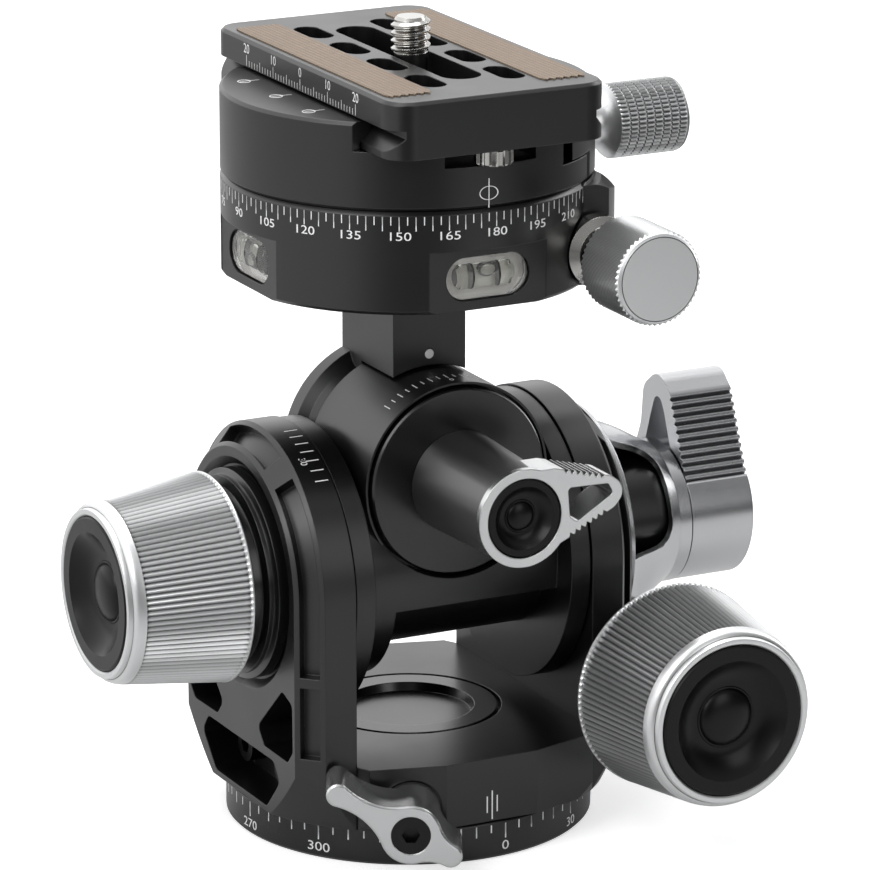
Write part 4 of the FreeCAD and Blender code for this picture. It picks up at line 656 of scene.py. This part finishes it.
# this dial stops at both sides of the worm's boss, which takes up "bossHalf" degrees each way from +X
panScale = {"radius": 30.1, "zero": -269.0, "first": -299.0, "bars": ((2.5, 101, 106.05), (5, 51, 105.1)),
            "high": 107.4, "width": 0.16, "every": 15, "size": 1.95, "stretch": 1.35, "numberZ": 104.2,
            "bossHalf": 38}
dial = []
for step, count, low in panScale["bars"]:
    dial.append(tickRing(panScale["radius"], panScale["first"], step, count, low, panScale["high"],
                         panScale["width"]))
for number in range(0, 360, panScale["every"]):
    angle = panScale["zero"] + number
    if abs((angle + 180) % 360 - 180) < panScale["bossHalf"]:
        continue
    spot = onCylinder(panScale["radius"], angle, panScale["numberZ"])
    dial.append(engravedText(str(number), panScale["size"], spot, panScale["stretch"]))
finishMarks(dial, "panScale", "post")
print("dials made")

# index marks: a long bar between two short ones on the yoke
yokeMark = {"radius": 30.2, "angle": -90, "width": 0.22, "long": 4.9, "longZ": 9.25, "short": 2.8, "shortZ": 9.4,
            "spacing": 0.9}
yokeIndex = [markBar(yokeMark["width"], yokeMark["long"],
                     onCylinder(yokeMark["radius"], yokeMark["angle"], yokeMark["longZ"]))]
for side in (-1, 1):
    spot = Matrix.Translation((side * yokeMark["spacing"] * mm, 0, 0)) \
        @ onCylinder(yokeMark["radius"], yokeMark["angle"], yokeMark["shortZ"])
    yokeIndex.append(markBar(yokeMark["width"], yokeMark["short"], spot))
finishMarks(yokeIndex, "yokeIndex", "yoke")


def ringMark(radius, width, place):
    # thin flat ring
    clearSelection()
    bpy.ops.mesh.primitive_torus_add(major_radius=radius * mm, minor_radius=width / 2 * mm, major_segments=48,
                                     minor_segments=6, location=(0, 0, 0))
    ring = bpy.context.object
    ring.data.transform(Matrix.Scale(0.5, 4, (0, 0, 1)))
    ring.data.transform(place)
    return ring


# a wide ring crossed by an upright line, over the panorama dial
clampMark = {"angle": -91.6, "z": 110.6, "ring": 1.07, "ringLine": 0.13, "ringStretch": 1.45, "ringAt": 30.08,
             "line": 0.15, "length": 4.7, "lineAt": 30.11}
ringSpot = onCylinder(clampMark["ringAt"], clampMark["angle"], clampMark["z"]) \
    @ Matrix.Scale(clampMark["ringStretch"], 4, (1, 0, 0))
lineSpot = onCylinder(clampMark["lineAt"], clampMark["angle"], clampMark["z"])
clampIndex = [ringMark(clampMark["ring"], clampMark["ringLine"], ringSpot),
              markBar(clampMark["line"], clampMark["length"], lineSpot)]
finishMarks(clampIndex, "clampIndex", "clamp")

# three rings with a line through each, on top of the fixed jaw
jawMark = {"x": -23.2, "z": 122.2, "spacing": 12.0, "ring": 1.0, "line": 0.18, "length": 3.4, "shift": 1.0}
jawMarks = []
for offset in (-1, 0, 1):
    spot = Matrix.Translation((jawMark["x"] * mm, offset * jawMark["spacing"] * mm, jawMark["z"] * mm))
    jawMarks.append(ringMark(jawMark["ring"], jawMark["line"], spot))
    spot = spot @ Matrix.Translation((jawMark["shift"] * mm, 0, 0))
    jawMarks.append(markBar(jawMark["length"], jawMark["line"], spot))
finishMarks(jawMarks, "jawMarks", "clamp")


# a rule in mm along the plate, with its zero in the middle
plateRule = {"halfWidth": 19.0, "half": 20, "low": 122.7, "every1": 123.7, "every5": 124.2, "every10": 124.5,
             "width": 0.16, "size": 2.2, "numberZ": 125.5}


def onLeftEdge(y, z):
    # place on the plate's left edge: mark X runs to the front, mark Y runs up, mark Z points out
    return Matrix.Translation((-plateRule["halfWidth"] * mm, y * mm, z * mm)) \
        @ Matrix.Rotation(-math.pi / 2, 4, "Z") @ Matrix.Rotation(math.pi / 2, 4, "X")


ruler = []
for step in range(-plateRule["half"], plateRule["half"] + 1):
    kind = "every10" if step % 10 == 0 else "every5" if step % 5 == 0 else "every1"
    low, high = plateRule["low"], plateRule[kind]
    ruler.append(markBar(plateRule["width"], high - low, onLeftEdge(-step, (high + low) / 2)))
for step in range(-plateRule["half"], plateRule["half"] + 1, 10):
    ruler.append(engravedText(str(abs(step)), plateRule["size"], onLeftEdge(-step, plateRule["numberZ"])))
finishMarks(ruler, "plateRuler", "plate")


def aboutAxis(axis, degrees, letter, offset):
    # place at an offset in mm from an axis of the head, turned about that axis
    return Matrix.Translation((0, 0, axis[2] * mm)) @ Matrix.Rotation(math.radians(degrees), 4, letter) \
        @ Matrix.Translation(Vector(offset) * mm)


# on the left arm's rim, every 5 degrees of tilt
tiltMark = {"first": 10, "last": 40, "every": 5, "length": 2.3, "width": 0.2, "at": (-23.1, 0, 24.3),
            "number": 30, "size": 1.7, "numberAt": (-24.76, 0, 24.28)}
tiltScale = []
for degrees in range(tiltMark["first"], tiltMark["last"] + 1, tiltMark["every"]):
    spot = aboutAxis(tiltAxis, degrees, "X", tiltMark["at"])
    tiltScale.append(markBar(tiltMark["length"], tiltMark["width"], spot))
spot = aboutAxis(tiltAxis, tiltMark["number"], "X", tiltMark["numberAt"]) @ Matrix.Rotation(-math.pi / 2, 4, "Z")
tiltScale.append(engravedText(str(tiltMark["number"]), tiltMark["size"], spot))
finishMarks(tiltScale, "tiltScale", "yoke")

# on the drum's housing, every 5 degrees of roll, with a longer bar at each 10
rollMark = {"limit": 40, "every": 5, "long": 2.0, "short": 1.4, "width": 0.18, "at": (0, -13.6, 16.3), "size": 1.6,
            "numberAt": (0, -15.7, 16.3)}
rollScale = []
for degrees in range(-rollMark["limit"], rollMark["limit"] + 1, rollMark["every"]):
    length = rollMark["long"] if degrees % 10 == 0 else rollMark["short"]
    rollScale.append(markBar(rollMark["width"], length, aboutAxis(rollAxis, degrees, "Y", rollMark["at"])))
rollScale.append(engravedText("0", rollMark["size"], aboutAxis(rollAxis, 0, "Y", rollMark["numberAt"])))
finishMarks(rollScale, "rollScale", "drum")

# white spot on the front of the post
postDot = {"radius": 0.78, "wall": 0.28, "top": 0.6, "rise": 0.33, "y": -7.52, "z": 79.0}
dot = turnProfile([(postDot["radius"], 0.0), (postDot["radius"], postDot["wall"]),
                   (postDot["top"], postDot["rise"])], 24)
settle(dot, outward["-y"], (0, postDot["y"], postDot["z"]))
finishPiece(dot, "postDot", "post", engravedPaint, (), 30)
print("index marks made")


# levels

level = {"length": 14.6, "height": 7.0, "z": 96.6, "face": -27.9, "lensDepth": 3.4, "lensEdge": 0.5,
         "backLow": -4.1, "backHigh": -3.5, "backEdge": 0.1}
# the tube of spirit lies along X behind the lens; two line rings and a drawn-out bubble go with it
vial = {"radius": 1.9, "half": 5.0, "taper": 0.6, "behind": -1.9, "lineRadius": 1.98, "lineAt": 2.3,
        "lineHalf": 0.14, "bubble": 1.0, "bubbleLength": 1.7, "bubbleAt": (0.3, 0.75, -1.7)}


def pillBlock(low, high, edge):
    # a disc with a rounded front edge, split in the middle and drawn apart to a pill
    length, r = level["length"], level["height"] / 2
    piece = turnProfile([(r, low), (r, high - edge), (r - edge * 0.3, high - edge * 0.3), (r - edge, high)], 64)
    for side in (-1, 1):
        pickVerts(piece, lambda co: co.x * side > 1e-7)
        bpy.ops.transform.translate(value=(side * (length / 2 - r) * mm, 0, 0))
    bpy.ops.object.mode_set(mode="OBJECT")
    return piece


def makeLevel(facing, spin, centre, tag):
    parts = []
    back = pillBlock(level["backLow"], level["backHigh"], level["backEdge"])
    parts.append((back, "levelBack", acetal, "slide_plastic"))
    front = pillBlock(-level["lensDepth"], 0.0, level["lensEdge"])
    parts.append((front, "levelLens", clearAcrylic, "vial"))
    lying = Matrix.Translation((0, 0, vial["behind"] * mm)) @ Matrix.Rotation(math.pi / 2, 4, "Y")
    r, half, taper = vial["radius"], vial["half"], vial["taper"]
    tube = turnProfile([(r - taper, -half), (r, taper - half), (r, half - taper), (r - taper, half)], 32)
    tube.data.transform(lying)
    parts.append((tube, "levelTube", levelSpirit, "vial"))
    clearSelection()
    bpy.ops.mesh.primitive_uv_sphere_add(segments=24, ring_count=16, radius=vial["bubble"] * mm,
                                         location=(0, 0, 0))
    bubble = bpy.context.object
    bubble.data.transform(Matrix.Translation(Vector(vial["bubbleAt"]) * mm)
                          @ Matrix.Scale(vial["bubbleLength"], 4, (1, 0, 0)))
    parts.append((bubble, "levelBubble", clearAcrylic, "vial"))
    rings = []
    for x in (-vial["lineAt"], vial["lineAt"]):
        ring = turnProfile([(vial["lineRadius"], x + end) for end in (-vial["lineHalf"], vial["lineHalf"])], 32)
        ring.data.transform(lying)
        rings.append(ring)
    parts.append((joinPieces(rings), "levelLines", mouldedAbs, "black_cap"))
    for piece, name, finish, slot in parts:
        piece.data.transform(Matrix.Rotation(spin, 4, "Z"))
        settle(piece, outward[facing], centre)
        replaced = ("level_vials",) if name == "levelLens" else ()
        finishPiece(piece, name + tag, "post", finish, replaced, 30)


makeLevel("-y", 0, (0, level["face"], level["z"]), "Front")
makeLevel("-x", math.pi / 2, (level["face"], 0, level["z"]), "Left")
print("levels made")


# studio

# place in mm
camera = {"place": (-384.9, -770.8, 315.4), "forward": (0.4332, 0.8565, -0.2808),
          "right": (0.8924, -0.4513, 0.0), "lens": 228.1, "sensor": 36}


def makeCamera(shot):
    right = Vector(shot["right"]).normalized()
    place = Vector(shot["place"])
    forward = Vector(shot["forward"]).normalized()
    up = right.cross(forward).normalized()
    right = forward.cross(up).normalized()
    data = bpy.data.cameras.new("studioCamera")
    data.lens = shot["lens"]
    data.sensor_width = shot["sensor"]
    data.clip_start = 0.01
    data.clip_end = 50
    rig = bpy.data.objects.new("studioCamera", data)
    bpy.context.scene.collection.objects.link(rig)
    turn = Matrix((right, up, -forward)).transposed().to_4x4()
    rig.matrix_world = Matrix.Translation(place * mm) @ turn
    bpy.context.scene.camera = rig


makeCamera(camera)

# places in metres
lamps = {
    "keySoftbox": {"place": (-0.75, -0.35, 0.75), "aim": (0, 0, 0.07), "size": (0.7, 0.7), "power": 5.5},
    "fillSoftbox": {"place": (0.25, -1.0, 0.5), "aim": (0, 0, 0.06), "size": (0.5, 0.7), "power": 2},
    "rightStrip": {"place": (0.8, 0.15, 0.35), "aim": (0, 0, 0.07), "size": (0.2, 0.9), "power": 2.4},
    "topSoftbox": {"place": (0.05, 0.2, 0.95), "aim": (0, 0, 0.08), "size": (0.7, 0.7), "power": 5},
}
for name, lamp in lamps.items():
    data = bpy.data.lights.new(name, "AREA")
    data.shape = "RECTANGLE"
    data.size, data.size_y = lamp["size"]
    data.energy = lamp["power"]
    rig = bpy.data.objects.new(name, data)
    bpy.context.scene.collection.objects.link(rig)
    place = Vector(lamp["place"])
    rig.location = place
    rig.rotation_euler = (Vector(lamp["aim"]) - place).to_track_quat("-Z", "Y").to_euler()


# directions, and distances in metres from the head's axis; a pair says where a change begins and ends
studioFloor = {"size": 6, "sink": 0.00005, "tone": 0.76,
               "side": (-1, 0.2, 0), "sideFrom": (-0.42, -0.26), "sideTo": (0.05, 0.58),
               "front": (-0.4, -0.92, 0), "frontFrom": (0.8, 0.97), "gapFrom": (0.08, 0.25), "gap": 0.25,
               "mirrorGlow": 0.3, "glowFrom": (0.4, 1.0), "glow": 0.62}


def ramp(tree, source, fromEnds, toEnds):
    # a Map Range node on a source; an end that is another node's output is linked
    node = addNode(tree, "ShaderNodeMapRange", {"From Min": fromEnds[0], "From Max": fromEnds[1]},
                   {"Value": source})
    for key, end in zip(("To Min", "To Max"), toEnds):
        if isinstance(end, (int, float)):
            node.inputs[key].default_value = end
        else:
            tree.links.new(end, node.inputs[key])
    return node.outputs["Result"]


def makeFloor(look):
    clearSelection()
    bpy.ops.mesh.primitive_plane_add(size=look["size"], location=(0, 0, -look["sink"]))
    floor = bpy.context.object
    floor.name = "paleFloor"
    material, tree = newMaterial("whitePaperFloor")
    rays = addNode(tree, "ShaderNodeLightPath")
    place = addNode(tree, "ShaderNodeTexCoord")
    side = addNode(tree, "ShaderNodeVectorMath", {"operation": "DOT_PRODUCT", 1: look["side"]},
                   {0: place.outputs["Object"]})
    # mirrored in the metal, the paper falls off towards the right
    fade = ramp(tree, side.outputs["Value"], look["sideFrom"], look["sideTo"])
    # and, away from the head, between the two lights in front
    aim = addNode(tree, "ShaderNodeVectorMath", {"operation": "NORMALIZE"}, {0: place.outputs["Object"]})
    front = addNode(tree, "ShaderNodeVectorMath", {"operation": "DOT_PRODUCT", 1: look["front"]},
                    {0: aim.outputs["Vector"]})
    reach = addNode(tree, "ShaderNodeVectorMath", {"operation": "LENGTH"}, {0: place.outputs["Object"]})
    depth = ramp(tree, reach.outputs["Value"], look["gapFrom"], (1.0, look["gap"]))
    gap = ramp(tree, front.outputs["Value"], look["frontFrom"], (1.0, depth))
    shown = addNode(tree, "ShaderNodeMath", {"operation": "MULTIPLY"}, {0: fade, 1: gap})
    tone = addNode(tree, "ShaderNodeMix", {"data_type": "FLOAT", 2: look["tone"]},
                   {0: rays.outputs["Is Glossy Ray"], 3: shown.outputs[0]})
    paper = addNode(tree, "ShaderNodeBsdfDiffuse", None, {"Color": tone.outputs[0]})
    mirrored = addNode(tree, "ShaderNodeMath", {"operation": "MULTIPLY"},
                       {0: rays.outputs["Is Glossy Ray"], 1: shown.outputs[0]})
    dimmed = addNode(tree, "ShaderNodeMath", {"operation": "MULTIPLY", 1: look["mirrorGlow"]},
                     {0: mirrored.outputs[0]})
    seen = addNode(tree, "ShaderNodeMath", {"operation": "MAXIMUM"},
                   {0: rays.outputs["Is Camera Ray"], 1: dimmed.outputs[0]})
    # out to the horizon the paper goes over into the white of the room
    power = ramp(tree, reach.outputs["Value"], look["glowFrom"], (look["glow"], 1.0))
    glow = addNode(tree, "ShaderNodeEmission", {"Color": (1, 1, 1, 1)}, {"Strength": power})
    both = addNode(tree, "ShaderNodeAddShader", None, {0: paper.outputs["BSDF"], 1: glow.outputs["Emission"]})
    mix = addNode(tree, "ShaderNodeMixShader", None,
                  {"Fac": seen.outputs[0], 1: paper.outputs["BSDF"], 2: both.outputs["Shader"]})
    addNode(tree, "ShaderNodeOutputMaterial", None, {"Surface": mix.outputs["Shader"]})
    floor.data.materials.append(material)


makeFloor(studioFloor)

# "wall" points to the bright side of the room; matt surfaces get only the "ambient" share of its light
room = {"wall": (-0.35, 0.85, 0.35), "wallFrom": (-0.6, 0.7), "wallTo": (0.06, 1.5), "ambient": 0.45}


def makeWorld(look):
    # white all round for the eye, and a white wall in front of dark room for reflections
    world = bpy.data.worlds.new("whiteStudio")
    bpy.context.scene.world = world
    world.use_nodes = True
    tree = world.node_tree
    tree.nodes.clear()
    rays = addNode(tree, "ShaderNodeLightPath")
    place = addNode(tree, "ShaderNodeTexCoord")
    wall = addNode(tree, "ShaderNodeVectorMath", {"operation": "DOT_PRODUCT", 1: look["wall"]},
                   {0: place.outputs["Generated"]})
    shade = ramp(tree, wall.outputs["Value"], look["wallFrom"], look["wallTo"])
    plain = addNode(tree, "ShaderNodeMath", {"operation": "MULTIPLY", 1: look["ambient"]}, {0: shade})
    direct = addNode(tree, "ShaderNodeMath", {"operation": "MAXIMUM"},
                    {0: rays.outputs["Is Camera Ray"], 1: rays.outputs["Is Transmission Ray"]})
    glossy = addNode(tree, "ShaderNodeMix", {"data_type": "FLOAT"},
                     {0: rays.outputs["Is Glossy Ray"], 2: plain.outputs[0], 3: shade})
    strength = addNode(tree, "ShaderNodeMath", {"operation": "MAXIMUM"},
                       {0: direct.outputs[0], 1: glossy.outputs[0]})
    sky = addNode(tree, "ShaderNodeBackground", {"Color": (1, 1, 1, 1)}, {"Strength": strength.outputs[0]})
    addNode(tree, "ShaderNodeOutputWorld", None, {"Surface": sky.outputs["Background"]})


makeWorld(room)
bpy.context.scene.view_settings.view_transform = "Standard"
print("studio made")
